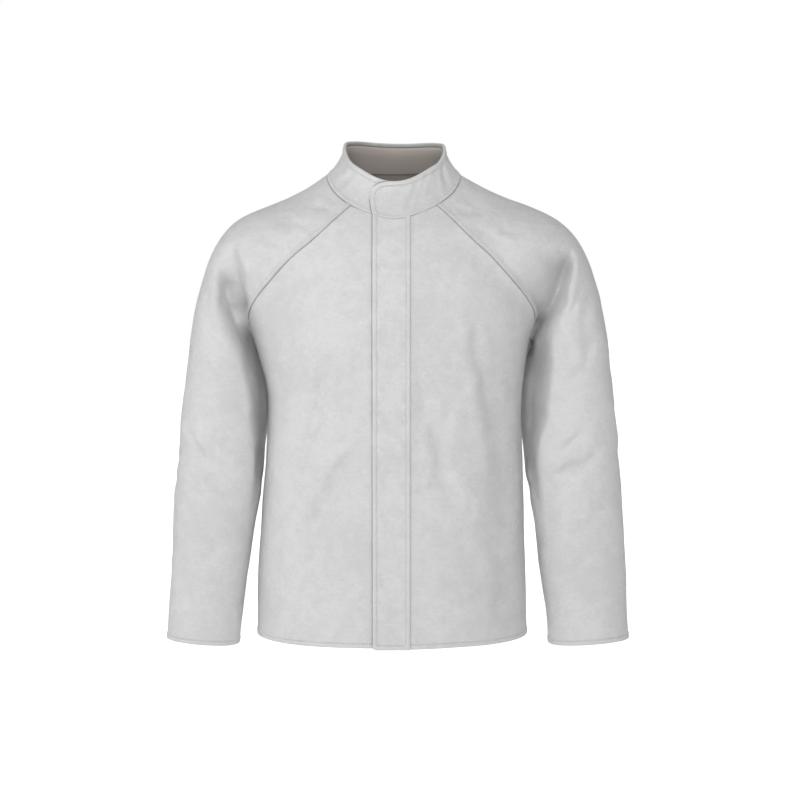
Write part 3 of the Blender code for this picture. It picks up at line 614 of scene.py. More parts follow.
def torso_middle(face, v):
    """The middle line of the fronts or of the back, at the same rows."""
    low = HEM_Z + np.clip(v, 0, 1) * (UNDERARM_Z - HEM_Z)
    neck_z = neck_ring(np.array(0.0 if face < 0 else math.pi))[2]
    station = np.clip(v - 1, 0, 1) * (len(RAGLAN) - 1)
    start = "front_z" if face < 0 else "back_z"
    seam_z = spline(np.arange(len(RAGLAN)), column(RAGLAN, start), station)
    seam_neck_z = RAGLAN[-1][start]
    share = (seam_z - UNDERARM_Z) / (seam_neck_z - UNDERARM_Z)
    z = np.where(v > 1, UNDERARM_Z + share * (neck_z - UNDERARM_Z), low)
    y = curve(MIDDLE, "z", "front_y" if face < 0 else "back_y", z)
    return np.stack([np.zeros_like(y), y, z], axis=-1)


def torso_turn(edge, middle, v):
    """Half the angle of an arc whose ellipse has its centre on the garment's middle plane."""
    centre = NECK_MIDDLE_Y * smoothstep(NECK_CENTRE_V, 2.0, v)
    share = (edge[..., 1] - centre) / (middle[..., 1] - centre)
    return np.arccos(np.clip(share, 0.0, LARGEST_TURN_SHARE))


def torso_arc(face, s, v):
    """One row of the fronts (face -1) or back (face 1): s runs from -1 at the right edge to 1 at
    the left edge.

    In each row x is the edge's x times sin(turn s) / sin(turn), and y and z go from the edge to
    the middle with (cos(turn s) - cos(turn)) / (1 - cos(turn)). The torso is cut a little
    squarer, with sin(pi s) squared.
    """
    edge = np.where((s < 0)[..., None], torso_edge(-1, face, v), torso_edge(1, face, v))
    middle = torso_middle(face, v)
    turn = torso_turn(edge, middle, v)
    weight = np.maximum((np.cos(turn * s) - np.cos(turn)) / (1 - np.cos(turn)), 0)
    weight = weight ** (1 - (1 - TORSO_SQUARE) * (1 - smoothstep(0.95, 1.4, v)))
    full = TORSO_FULLNESS * np.sin(math.pi * s) ** 2 * (1 - smoothstep(1.0, FULLNESS_ENDS_V, v))
    return np.stack([
        edge[..., 0] * np.sin(turn * np.abs(s)) / np.sin(turn),
        edge[..., 1] + (middle[..., 1] - edge[..., 1]) * (weight + full),
        edge[..., 2] + (middle[..., 2] - edge[..., 2]) * weight,
    ], axis=-1)


def to_neck(points, plain, ring, v):
    """Draws the rows near the neck on to the neck ring, fully at v = 2."""
    return points + (ring - plain) * smoothstep(NECK_DRAW_V, 2.0, v)[..., None]


def torso(face, s, v):
    """Points of the fronts or the back; the last row is the neck ring."""
    front, back = neck_angles()
    angle = front * s if face < 0 else math.pi - (math.pi - back) * s
    plain = torso_arc(face, s, np.full_like(s, 2.0))
    return to_neck(torso_arc(face, s, v), plain, neck_ring(angle), v)


def sleeve_lines(side, v):
    """Front seam, back seam, outer line, half depth and turn of a sleeve in each row: v runs
    from 0 at the cuff to 1 at the underarm and 2 at the neck."""
    x_name = "right_x" if side < 0 else "left_x"
    outer_low = columns(SLEEVE, "outer_" + x_name, "middle_y", "outer_z",
                        "half_depth")
    outer_high = columns(RAGLAN, "shoulder_" + x_name, "front_y", "shoulder_z",
                         "half_depth")
    outer_high[:, 1] = np.linspace(0, NECK_MIDDLE_Y, len(RAGLAN))
    knots = np.concatenate([np.arange(len(SLEEVE)) / len(SLEEVE),
                            1 + np.arange(len(RAGLAN)) / (len(RAGLAN) - 1)])
    outer = spline(knots, np.concatenate([outer_low, outer_high]), v)
    depth = outer[..., 3]
    outer = outer[..., :3] * np.array([side, 1, 1])
    inner_low = columns(SLEEVE, "inner_" + x_name, "middle_y", "inner_z")
    underarm = columns(RAGLAN, "front_x", "front_y", "front_z")[:1]
    inner = spline(knots[:len(SLEEVE) + 1], np.concatenate([inner_low, underarm]),
                   np.clip(v, 0, 1)) * np.array([side, 1, 1])
    station = np.clip(v - 1, 0, 1) * (len(RAGLAN) - 1)
    above = (v > 1)[..., None]
    front = np.where(above, raglan(side, ("front_x", "front_y", "front_z"), station), inner)
    back = np.where(above, raglan(side, ("back_x", "back_y", "back_z"), station), inner)
    turn = np.radians(spline(np.arange(len(RAGLAN)), RAGLAN_TURNS, station))
    return front, back, outer, depth, turn


def sleeve_arc(side, s, v):
    """One sleeve row: s runs from -1 at the front seam over 0 on the shoulder or outer line to
    1 at the back seam.

    With m halfway between the seams, h the unit vector from front to back, D the half depth and
    c from m to the outer line: m + h (D sin(turn s) + what is missing at the seam times s cubed)
    + c (cos(turn s) - cos(turn)) / (1 - cos(turn)). A turn of 180 degrees closes the ring.
    """
    front, back, outer, depth, turn = sleeve_lines(side, v)
    middle = (front + back) / 2
    reach = np.linalg.norm(back - front, axis=-1) / 2
    straight = np.array([0.0, 1.0, 0.0])
    opened = smoothstep(0.0, SLEEVE_OPENS_OVER, reach)[..., None]
    across = unit(opened * unit(back - front) + (1 - opened) * straight)
    power = SLEEVE_SQUARE + (1 - SLEEVE_SQUARE) * smoothstep(0.95, 1.35, v)

    def swing(angle):
        return np.sign(np.sin(angle)) * np.abs(np.sin(angle)) ** power

    along = depth * swing(turn * s) + (reach - depth * swing(turn)) * s ** 3
    out = (np.cos(turn * s) - np.cos(turn)) / (1 - np.cos(turn))
    missing = (back - front) / 2 - across * reach[..., None]
    return middle + across * along[..., None] + (outer - middle) * out[..., None] + missing * (
        s ** 3)[..., None]


def sleeve(side, s, v):
    """Points of a sleeve; the last row is the neck ring between the two raglan seams."""
    front, back = neck_angles()
    angle = side * ((front + back) / 2 + (back - front) / 2 * s)
    plain = sleeve_arc(side, s, np.full_like(s, 2.0))
    return to_neck(sleeve_arc(side, s, v), plain, neck_ring(angle), v)


# ------------------------------------------------------------------------- cloth and its seams

class Cloth:
    """One cut piece: its grid of points, its normals, and which way the grid's normals point."""

    def __init__(self, name, points, outward, closed=0):
        self.name = name
        self.points = points
        self.outward = outward
        self.closed = closed
        self.shift = np.zeros_like(points)
        self.relief = np.zeros(points.shape[:-1])
        self.seams = np.full(points.shape[:-1] + (2,), FAR_FROM_SEAMS)
        # distance to the nearest line of painted shade, at a seam or a shaded edge
        self.line = np.full(points.shape[:-1], FAR_FROM_SEAMS)
        self.refresh()

    def note_seam(self, distance, row=None):
        """Keeps how far the stitches' seam is, for the finish: a single row at `row`, or with
        no row a double one."""
        kind = 0 if row is None else 1
        scaled = distance if row is None else distance * SINGLE_ROW / row
        self.seams[..., kind] = np.minimum(self.seams[..., kind], scaled)

    def note_painted_shade(self, distance):
        """Keeps how far the nearest line of painted shade is, at a seam line or a shaded edge; the
        sign tells its sides.
        """
        self.line = np.where(np.abs(distance) < np.abs(self.line), distance, self.line)

    def refresh(self):
        """Works the normals out again after the points have moved."""
        rows = np.gradient(self.points, axis=0)
        across = np.gradient(self.points, axis=1)
        if self.closed:
            joined = (self.points[:self.closed, 1] - self.points[:self.closed, -2]) / 2
            across[:self.closed, 0] = joined
            across[:self.closed, -1] = joined
        self.normal = unit(np.cross(across, rows)) * self.outward
        self.mitre = np.ones(self.points.shape[:-1])


def from_edge(edge, values):
    """A grid turned so that its rows start at the edge named."""
    values = values.swapaxes(0, 1) if edge.endswith("row") else values
    return values[:, ::-1] if edge.startswith("last") else values


def edge_distance(points, edge):
    """How far each point lies from one edge of its grid, square to that edge: the arc length
    from it along the grid line, times the sine of the angle between line and edge."""
    turned = from_edge(edge, points)
    along = unit(np.gradient(turned[:, 0], axis=0))
    away = unit(turned[:, 1] - turned[:, 0])
    arc = run_along(turned, 1) * np.linalg.norm(np.cross(along, away), axis=-1)[:, None]
    arc = arc[:, ::-1] if edge.startswith("last") else arc
    return arc.T if edge.endswith("row") else arc


def row_beside(points, normals, gap, edge, distance):
    """The line on a grid, with its normals, at a distance from the edge named: in each grid line
    the place where `gap`, which grows away from the edge, passes that distance."""
    points, normals, gap = (from_edge(edge, values) for values in (points, normals, gap))
    index = np.clip(np.argmax(gap > distance, axis=1), 1, None)
    lines = np.arange(len(points))
    low, high = gap[lines, index - 1], gap[lines, index]
    share = np.clip((distance - low) / np.maximum(high - low, 1e-9), 0, 1)[:, None]
    place, lean = (values[lines, index - 1] * (1 - share) + values[lines, index] * share
                   for values in (points, normals))
    return place, unit(lean)


def join_normals(seams):
    """Gives both pieces the same normal along each seam, and a mitre that keeps the wall."""
    for (one, one_column, one_rows), (two, two_column, two_rows) in seams:
        shared = unit(one.normal[one_rows, one_column] + two.normal[two_rows, two_column])
        for cloth, place, rows in ((one, one_column, one_rows), (two, two_column, two_rows)):
            lean = np.sum(shared * cloth.normal[rows, place], axis=-1)
            cloth.mitre[rows, place] = 1 / np.maximum(lean, LEAST_LEAN)
        one.normal[one_rows, one_column] = shared
        two.normal[two_rows, two_column] = shared


def ease(cloth, column_index, rows, shared, strength):
    """Bends the cloth near a seam so that it leaves the seam square to the shared normal: each
    point moves against that normal by slope x distance x exp(-(distance / ease length)^2)."""
    grid = cloth.points[rows] if column_index == 0 else cloth.points[rows, ::-1]
    distance = run_along(grid, 1)
    near = np.argmax(distance[0] > SEAM_SLOPE_AT)
    slope = np.sum(unit(grid[:, near] - grid[:, 0]) * shared, axis=-1)
    move = (slope * strength)[:, None] * distance * np.exp(-(distance / SEAM_EASE_LENGTH) ** 2)
    moved = grid - move[..., None] * shared[:, None, :]
    cloth.points[rows] = moved if column_index == 0 else moved[:, ::-1]


def front_place(v, x):
    """The s at which each front row has the given x."""
    side = 1 if x > 0 else -1
    edge = torso_edge(side, -1, v)
    turn = torso_turn(edge, torso_middle(-1, v), v)
    return np.arcsin(x / edge[..., 0] * np.sin(turn)) / turn * side


def line_distance(places, line):
    """Distance of places in a plane from a line of straight pieces, and the share of the line's
    length at the nearest place."""
    start, step = line[:-1], np.diff(line, axis=0)
    length = np.linalg.norm(step, axis=1)
    offset = places[:, None, :] - start
    share = np.clip(np.sum(offset * step, axis=-1) / length ** 2, 0, 1)
    gap = np.linalg.norm(offset - share[..., None] * step, axis=-1)
    nearest = np.argmin(gap, axis=1)
    rows = np.arange(len(places))
    run = np.concatenate([[0], np.cumsum(length)])
    along = (run[nearest] + share[rows, nearest] * length[nearest]) / run[-1]
    return gap[rows, nearest], along


def bent_line(row):
    """A curve through a row's three places, seen from the row's side of the jacket."""
    t = np.linspace(0, 1, FOLD_SAMPLES)[:, None]
    ends = [np.array([row[k + "_x"], row[k + "_z"]]) for k in ("start", "middle", "end")]
    return ((1 - t) * (1 - 2 * t) * ends[0] + 4 * t * (1 - t) * ends[1]
            + t * (2 * t - 1) * ends[2])


def fold_depth(points, normals, folds, uneven, on_sleeve):
    """How far each point is moved in by some folds, from its place seen from the
    fold's side of the jacket. Across a fold the depth is a bell curve exp(-r^2) with low raised
    shoulders at r = 2; along it the fold fades with a sine, and `uneven` makes its line, depth
    and width vary."""
    flat = points.reshape(-1, 3)
    normals = normals.reshape(-1, 3)
    moved = np.zeros(len(flat))
    t = np.linspace(0, 1, FOLD_SAMPLES)
    for number, fold in enumerate(folds):
        away, face, shown = SIDES[fold["side"]]
        of_sleeve = away == 0 or min(abs(fold[k + "_x"]) for k in (
            "start", "middle", "end")) > SLEEVE_FOLDS_FROM_X
        if of_sleeve and not on_sleeve:
            continue
        turned = normals[:, away] * face
        line = bent_line(fold)
        width = fold["half_width"]
        side = unit(np.gradient(line, axis=0))[:, ::-1] * np.array([-1, 1])
        line = line + side * (uneven * FOLD_WANDERS * width * np.sin(9 * t + number))[:, None]
        place = flat[:, shown]
        low, high = line.min(axis=0) - FOLD_REACH * width, line.max(axis=0) + FOLD_REACH * width
        near = np.flatnonzero(np.all((place > low) & (place < high), axis=1)
                              & (turned > FOLD_FACING[0]))
        if not len(near):
            continue
        gap, along = line_distance(place[near], line)
        r = gap / (width * (1 + uneven * FOLD_WIDTH_VARIES * np.sin(11 * along + 2.1 * number)))
        across = np.exp(-r ** 2) - uneven * SHOULDER_SHARE * np.exp(-((r - 2) / 0.9) ** 2)
        fade = np.sin(math.pi * np.clip(along, 0.04, 0.96)) ** 0.7
        swell = 1 + uneven * FOLD_DEPTH_VARIES * np.sin(7 * along + 1.3 * number)
        moved[near] += fold["depth"] * across * fade * swell * smoothstep(
            *FOLD_FACING, turned[near])
    return moved.reshape(points.shape[:-1])


def valley_depth(name, points):
    """How far the valleys of one piece press each point back. Across a valley the depth is a
    bell whose two sides have their own widths, and it fades at both ends."""
    flat = points[..., [0, 2]].reshape(-1, 2)
    pressed = np.zeros(len(flat))
    for valley in VALLEYS:
        if valley["piece"] != name:
            continue
        line = bent_line(valley)
        gap, along = line_distance(flat, line)
        middle_x = np.interp(-flat[:, 1], -line[:, 1], np.abs(line[:, 0]))
        outer = smoothstep(-0.002, 0.002, np.abs(flat[:, 0]) - middle_x)
        width = valley["inner_width"] + (valley["outer_width"] - valley["inner_width"]) * outer
        fade = smoothstep(0.0, 0.3, along) * smoothstep(0.0, 0.25, 1 - along)
        pressed += valley["depth"] * fade * np.exp(-(gap / width) ** VALLEY_CRISP)
    return pressed.reshape(points.shape[:-1])


def between(cloth):
    """How far the front half of a sleeve lies before its back half, place by place."""
    return np.maximum(cloth.points[:, ::-1, 1] - cloth.points[..., 1], 0)


def round_share(cloth):
    """Each point's place across its row by arc length: -1 in the first column, 1 in the last."""
    run = run_along(cloth.points, 1)
    return 2 * run / run[:, -1:] - 1


def press_valleys(made, body_v):
    """Presses the valleys into the left front and into the front half of each sleeve; they fade
    out before the seams, but run on through the closed rows of a sleeve."""
    for name in ("front_left", "sleeve_right", "sleeve_left"):
        cloth = made[name]
        depth = soften(valley_depth(name, cloth.points), VALLEY_SOFTENED)
        if cloth.closed:
            clear = smoothstep(0.0, VALLEY_SEAM_FADE,
                               edge_distance(cloth.points, "first_column"))
            parted = smoothstep(*EDGES_PART_V, body_v)[:, None]
            depth *= 1 - (1 - clear) * parted
            depth *= 1 - smoothstep(*VALLEY_ENDS_S, round_share(cloth))
            depth *= smoothstep(*VALLEY_STARTS_V, body_v)[:, None]
            depth = np.minimum(depth, PRESS_SHARE * between(cloth))
        else:
            depth *= smoothstep(0.0, VALLEY_SIDE_FADE,
                                edge_distance(cloth.points, "last_column"))
        cloth.points[..., 1] += depth


def big_pieces():
    """The five large pieces of leather on fine grids that share their seams' points."""
    below = graded(*ROWS_BELOW, ends=(True, False))
    above = 1 + graded(*ROWS_ABOVE, ends=(False, True))[1:]
    body_v = np.concatenate([below, above])
    across_front = graded(*FRONT_ACROSS, ends=(True, False))

    def grid(s):
        return np.meshgrid(body_v, s, indexing="ij")

    made = {}
    meet = front_place(body_v, FRONTS_MEET_X)[:, None]
    v, t = grid(across_front)
    made["front_right"] = Cloth("front_right", torso(-1, -1 + t * (1 + meet), v), 1)
    v, t = grid(1 - across_front[::-1])
    made["front_left"] = Cloth("front_left", torso(-1, meet + t * (1 - meet), v), 1)
    v, t = grid(graded(*BACK_ACROSS))
    made["back"] = Cloth("back", torso(1, 2 * t - 1, v), -1)
    v, t = grid(graded(*SLEEVE_ROUND))
    closed = len(below)
    made["sleeve_right"] = Cloth("sleeve_right", sleeve(-1, 2 * t - 1, v), -1, closed)
    made["sleeve_left"] = Cloth("sleeve_left", sleeve(1, 2 * t - 1, v), 1, closed)
    return made, body_v, closed


def seam_list(made, underarm):
    """Every long seam as two (piece, column, rows): the raglan seams, and the plain ones."""
    up, down = slice(underarm - 1, None), slice(0, underarm)
    every = slice(None)
    raglans = [
        ((made["front_right"], 0, up), (made["sleeve_right"], 0, up)),
        ((made["front_left"], -1, up), (made["sleeve_left"], 0, up)),
        ((made["back"], 0, up), (made["sleeve_right"], -1, up)),
        ((made["back"], -1, up), (made["sleeve_left"], -1, up)),
    ]
    plain = [
        ((made["front_right"], 0, down), (made["back"], 0, down)),
        ((made["front_left"], -1, down), (made["back"], -1, down)),
        ((made["front_right"], -1, every), (made["front_left"], 0, every)),
    ]
    return raglans, plain


def turn_underarms_down(made, underarm):
    """Where fronts, back and sleeve meet under the arm, all of them share one normal: down."""
    corners = [(made["front_right"], 0), (made["front_left"], -1), (made["back"], 0),
               (made["back"], -1)]
    corners += [(made[name], end) for name in ("sleeve_right", "sleeve_left") for end in (0, -1)]
    for cloth, column_index in corners:
        cloth.normal[underarm - 1, column_index] = (0, 0, -1)
        cloth.mitre[underarm - 1, column_index] = UNDERARM_MITRE


def open_seams(seams):
    """Draws both pieces back from their seam by half the gap, along the cloth."""
    for one, two in seams:
        steps = []
        for cloth, column_index, rows in (one, two):
            line = cloth.points[rows, column_index]
            step = cloth.points[rows, 3 if column_index == 0 else -4] - line
            along = unit(np.gradient(line, axis=0))
            steps.append(unit(step - along * np.sum(step * along, axis=-1, keepdims=True)))
        back_off = unit(steps[0] - steps[1]) * SEAM_GAP / 2
        one[0].shift[one[2], one[1]] += back_off
        two[0].shift[two[2], two[1]] -= back_off


def seam_relief(distance, dip, swell, rows, along):
    """The leather beside a seam: it dips at the seam, swells where the allowance lies under it,
    and is drawn in along each stitch row, where it puckers a little."""
    reach = max(rows) if rows else SWELL_WITHOUT_ROWS
    shape = swell * hump((0.0, SWELL_FROM), (reach - 0.001, reach + 0.002), distance)
    shape -= dip * np.exp(-(distance / DIP_WIDTH) ** 2)
    for row in rows:
        low, high = (np.sin(along * 2 * math.pi / length) for length in PUCKER_LENGTHS)
        shape += PUCKER_DEPTH * (0.5 * low + high) * np.exp(
            -((distance - row) / PUCKER_WIDTH) ** 2)
    return shape


def round_over(distance, radius):
    """A rounded outer edge: a quarter circle that falls by its radius at the edge."""
    inside = np.clip(radius - distance, 0, radius)
    return -(radius - np.sqrt(np.maximum(radius ** 2 - inside ** 2, 0)))


def run_along(points, axis):
    """Arc length along a grid's lines on one axis."""
    step = np.linalg.norm(np.diff(points, axis=axis), axis=-1)
    pad = [(0, 0), (0, 0)]
    pad[axis] = (1, 0)
    return np.pad(np.cumsum(step, axis=axis), pad)


def lay_relief(made, underarm, leather):
    """Edges, seams, hems and stitch rows of the large pieces, as heights along the normals."""
    above = smoothstep(underarm - 6, underarm + 2, np.arange(len(made["back"].points)))[:, None]
    for cloth in made.values():
        points = cloth.points
        run = run_along(points, 0)
        around = run_along(points, 1)
        hem = edge_distance(points, "first_row")
        stitched = CUFF_ROW if cloth.closed else HEM_ROW
        cloth.relief += seam_relief(hem, 0.0, HEM_SWELL, (stitched,), around)
        cloth.relief += round_over(hem, leather / 2)
        cloth.note_seam(hem, stitched)
        cloth.relief += seam_relief(edge_distance(points, "last_row"), NECK_DIP, 0.0, (), around)
        middle = {"front_right": "last_column", "front_left": "first_column"}.get(cloth.name)
        for edge in ("first_column", "last_column"):
            if edge == middle:
                continue
            gap = edge_distance(points, edge)
            if cloth.closed:
                cloth.relief += above * seam_relief(gap, RAGLAN_DIP, RAGLAN_SWELL, RAGLAN_ROWS,
                                                    run)
                gap = np.where(above > 0.5, gap, FAR_FROM_SEAMS)
                cloth.note_seam(gap)
            else:
                cloth.relief += seam_relief(gap, SIDE_DIP, 0.0, (), run)
            # painted shade along the side and raglan seam lines
            cloth.note_painted_shade(gap)
    right, left = made["front_right"], made["front_left"]
    x = right.points[..., 0] - PLACKET_FREE_EDGE_X
    right.relief -= RIGHT_UNDER_PLACKET * smoothstep(-0.0030, 0.0010, x)
    # painted shadow on the right front just outside the placket's free edge, which lifts off it
    right.note_painted_shade(x + 0.0004)
    x = left.points[..., 0]
    left.relief -= LEFT_UNDER_PLACKET * (1 - smoothstep(
        PLACKET_SEWN_EDGE_X - 0.004, PLACKET_SEWN_EDGE_X + 0.001, x))
    near_placket = 1 - smoothstep(PLACKET_SEWN_EDGE_X, HEM_MEETS_PLACKET_OVER, x)
    near_hem = 1 - smoothstep(0.0, 0.03, edge_distance(left.points, "first_row"))
    left.shift[..., 2] -= HEM_DROP_AT_PLACKET * near_placket * near_hem


def smooth_rows(points, weight, times):
    """Evens a grid out from row to row, each point by its own weight."""
    for _ in range(times):
        mean = (points[:-2] + 2 * points[1:-1] + points[2:]) / 4
        points[1:-1] += weight[1:-1, :, None] * (mean - points[1:-1])


def soften(values, times):
    """Evens a grid of depths out along both axes, a little each time."""
    for _ in range(times):
        values[1:-1] = (values[:-2] + 2 * values[1:-1] + values[2:]) / 4
        values[:, 1:-1] = (values[:, :-2] + 2 * values[:, 1:-1] + values[:, 2:]) / 4
    return values


def keep_outwards(cloth, weight):
    """Moves points of a sleeve out where they lie nearer the body than their neighbours on the
    seam's side, each row by its own weight."""
    x = np.abs(cloth.points[..., 0])
    half = x.shape[1] // 2
    grown = np.concatenate([np.maximum.accumulate(x[:, :half], axis=1),
                            np.maximum.accumulate(x[:, half:][:, ::-1], axis=1)[:, ::-1]], axis=1)
    cloth.points[..., 0] = np.sign(cloth.points[..., 0]) * (x + weight[:, None] * (grown - x))


def slack_sleeves(made, body_v):
    """The slack of each sleeve under the arm. Its inner side falls steeply back behind the
    front, from a ridge some way out from its inner line, and leans towards the body there; both
    fade up to the underarm and down to the elbow. The rows about the underarm are evened out."""
    v = body_v[:, None]
    for name, side in (("sleeve_right", -1), ("sleeve_left", 1)):
        cloth = made[name]
        s = round_share(cloth)
        smooth_rows(cloth.points, np.exp(-((v - 1) / EVEN_REACH_V) ** 2)
                    * smoothstep(0.0, 0.05, 1 - np.abs(s)), EVEN_TIMES)
        out = np.abs(cloth.points[..., 0]) - np.abs(cloth.points[:, :1, 0])
        share = out / (SLACK_WIDTHS[name] * (0.5 + 0.5 * smoothstep(*SLACK_WIDENS_V, v)))
        clear = smoothstep(0.0, VALLEY_SEAM_FADE, np.minimum(
            *(edge_distance(cloth.points, edge) for edge in ("first_column", "last_column"))))
        parted = smoothstep(*EDGES_PART_V, v)
        pressed = SLACK_DEPTH * hump(SLACK_STARTS_V, SLACK_ENDS_V, v) * np.where(
            s < 0, (1 - smoothstep(*SLACK_FADES_FRONT, share)) * (1 - (1 - clear) * parted),
            (1 - smoothstep(*SLACK_FADES_BEHIND, share)) * (1 - parted))
        room = pressed[:, ::-1] + PRESS_SHARE * between(cloth)
        cloth.points[..., 1] += np.where(s < 0, np.minimum(pressed, room), pressed)
        cloth.points[..., 0] -= side * SLACK_LEAN * hump(LEAN_STARTS_V, LEAN_ENDS_V, v) * (
            1 - smoothstep(0.0, SLACK_LEAN_REACH, out))
        keep_outwards(cloth, hump(KEPT_STARTS_V, KEPT_ENDS_V, body_v))


def shaped():
    """The large pieces, eased at the raglan seams, folded, creased and drawn back at each seam."""
    leather = bpy.context.scene.jacket_leather
    made, body_v, underarm = big_pieces()
    raglans, plain = seam_list(made, underarm)
    strength = smoothstep(EASE_FROM, EASE_FULL, body_v[underarm - 1:] - 1)
    for one, two in raglans:
        shared = unit(one[0].normal[one[2], one[1]] + two[0].normal[two[2], two[1]])
        ease(*one, shared, strength)
        ease(*two, shared, strength)
    slack_sleeves(made, body_v)
    press_valleys(made, body_v)
    for cloth in made.values():
        cloth.refresh()
    join_normals(plain + raglans)
    turn_underarms_down(made, underarm)
    for cloth in made.values():
        on_sleeve = cloth.closed > 0
        depth = fold_depth(cloth.points, cloth.normal, FOLDS, 0.0, on_sleeve)
        depth += leather.crease_strength * fold_depth(cloth.points, cloth.normal, CREASES, 1.0,
                                                      on_sleeve)
        for cell, seed, height in UNEVEN_LEATHER:
            depth += soft_noise(cloth.points, cell, seed) * height * leather.crease_strength
        cloth.points = cloth.points - cloth.normal * depth[..., None]
        cloth.refresh()
    join_normals(plain + raglans)
    turn_underarms_down(made, underarm)
    open_seams(plain)
    open_seams(raglans)
    for cloth in made.values():
        cloth.shift[-1] -= unit(cloth.points[-1] - cloth.points[-3]) * SEAM_GAP
    lay_relief(made, underarm, leather.thickness)
    return made, underarm


# ---------------------------------------------------------------------------------- meshes

def wall_faces(rows, across, closed=0):
    """Faces of a closed wall between an outer and an inner grid, and which of them are inner.
    The first `closed` rows are rings whose last column is their first."""
    number = np.arange(rows * across).reshape(rows, across)
    number[:closed, -1] = number[:closed, 0]
    total = rows * across

    def strip(a, b):
        return np.stack([a[..., :-1], a[..., 1:], b[..., 1:], b[..., :-1]],
                        axis=-1).reshape(-1, 4)

    first = max(closed - 1, 0)
    outer = strip(number[:-1], number[1:])
    inner = strip(number[1:] + total, number[:-1] + total)
    rims = [strip(number[0] + total, number[0]), strip(number[-1], number[-1] + total),
            strip(number[first:, 0], number[first:, 0] + total),
            strip(number[first:, -1] + total, number[first:, -1])]
    faces = np.concatenate([outer, inner] + rims)
    inside = np.zeros(len(faces), int)
    inside[len(outer):len(outer) + len(inner)] = 1
    return faces, inside


def put_mesh(name, points, faces, finishes, face_finish=None, uv=None, seams=None, line=None,
             sharp=55):
    """Puts points and four-sided faces into a new object; uv gives each point's place on the
    cloth in metres, seams its distances to the double and the single stitch rows, and line its
    distance to a line of painted shade, at a seam or a shaded edge."""
    used, renumbered = np.unique(faces, return_inverse=True)
    points = points[used]
    faces = renumbered.reshape(faces.shape)
    mesh = bpy.data.meshes.new(name)
    mesh.vertices.add(len(points))
    mesh.vertices.foreach_set("co", points.astype(np.float32).ravel())
    mesh.loops.add(faces.size)
    mesh.loops.foreach_set("vertex_index", faces.astype(np.int32).ravel())
    mesh.polygons.add(len(faces))
    mesh.polygons.foreach_set("loop_start", np.arange(0, faces.size, 4, dtype=np.int32))
    mesh.polygons.foreach_set("loop_total", np.full(len(faces), 4, np.int32))
    mesh.update(calc_edges=True)
    for finish in finishes:
        mesh.materials.append(finish)
    if face_finish is not None:
        mesh.polygons.foreach_set("material_index", face_finish.astype(np.int32))
    for label, values in (("cloth_metres", uv), ("seam_metres", seams)):
        if values is not None:
            layer = mesh.uv_layers.new(name=label)
            layer.data.foreach_set("uv", values[used][faces.ravel()].astype(np.float32).ravel())
    if line is not None:
        mesh.attributes.new("painted_shade_metres", "FLOAT", "POINT").data.foreach_set(
            "value", line[used].astype(np.float32))
    mesh.validate()
    mesh.shade_smooth()
    mesh.set_sharp_from_angle(angle=math.radians(sharp))
    made = bpy.data.objects.new(name, mesh)
    bpy.context.scene.collection.objects.link(made)
    return made


def put_wall(name, outer, inner, outward, finishes, cloth, across=1, closed=0, seams=None,
             line=None, inner_painted_shade=None):
    """A closed wall of cloth; the first finish is for its outside and rims, the second for its
    inside. The metres across and along the cloth are run on the points of `cloth`."""
    faces, inside = wall_faces(*outer.shape[:2], closed)
    if outward < 0:
        faces = faces[:, ::-1]
    points = np.concatenate([outer.reshape(-1, 3), inner.reshape(-1, 3)])
    uv = np.stack([run_along(cloth, across), run_along(cloth, 1 - across)], axis=-1)
    uv = np.concatenate([uv.reshape(-1, 2)] * 2)
    if seams is not None:
        seams = seams.reshape(-1, 2)
        seams = np.concatenate([seams, np.full_like(seams, FAR_FROM_SEAMS)])
    # line and inner_painted_shade give the points outside and inside their distance to a line of
    # painted shade
    far = np.full(outer.shape[0] * outer.shape[1], FAR_FROM_SEAMS)
    line = np.concatenate([far if values is None else values.ravel()
                           for values in (line, inner_painted_shade)])
    return put_mesh(name, points, faces, finishes, inside, uv, seams, line)


def stands_for(piece, node):
    """Attaches a sheet of cloth to the root body and hides the solid that it stands for."""
    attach(piece, "root")
    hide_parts(node)


def stitches(line, normals, thread):
    """Points and faces of a row of stitches along a line: each is a short six-sided bead, thick
    in its middle, whose ends go down into the leather."""
    run = run_along(line[None], 1)[0]
    count = max(1, int(run[-1] / thread.pitch))
    centres = (np.arange(count) + 0.5) * run[-1] / count

    def read(values, at):
        return np.stack([np.interp(at, run, values[:, k]) for k in range(3)], axis=-1)

    third = thread.length / 3
    along = unit(read(line, centres + third) - read(line, centres - third))
    aside = unit(np.cross(along, unit(read(normals, centres))))
    up = np.cross(aside, along)
    number = np.arange(len(BEAD_ALONG) * BEAD_SIDES).reshape(-1, BEAD_SIDES)
    turn = np.arange(BEAD_SIDES) * 2 * math.pi / BEAD_SIDES
    template = np.stack([
        np.broadcast_to(BEAD_ALONG[:, None] * thread.length / 2, number.shape),
        BEAD_THICK[:, None] * thread.radius * np.cos(turn),
        BEAD_THICK[:, None] * thread.radius * np.sin(turn) + BEAD_SINKS[:, None] * thread.radius,
    ], axis=-1).reshape(-1, 3)
    points = read(line, centres)[:, None] + sum(
        template[None, :, k:k + 1] * way[:, None] for k, way in enumerate((along, aside, up)))
    turned = np.roll(number, -1, axis=1)
    sides = np.stack([number[:-1], number[1:], turned[1:], turned[:-1]], axis=-1)
    caps = [number[0, [0, 1, 2, 3]], number[0, [0, 3, 4, 5]],
            number[-1, [3, 2, 1, 0]], number[-1, [5, 4, 3, 0]]]
    bead = np.concatenate([sides.reshape(-1, 4), caps])
    faces = (bead[None] + np.arange(count)[:, None, None] * number.size).reshape(-1, 4)
    return points.reshape(-1, 3), faces


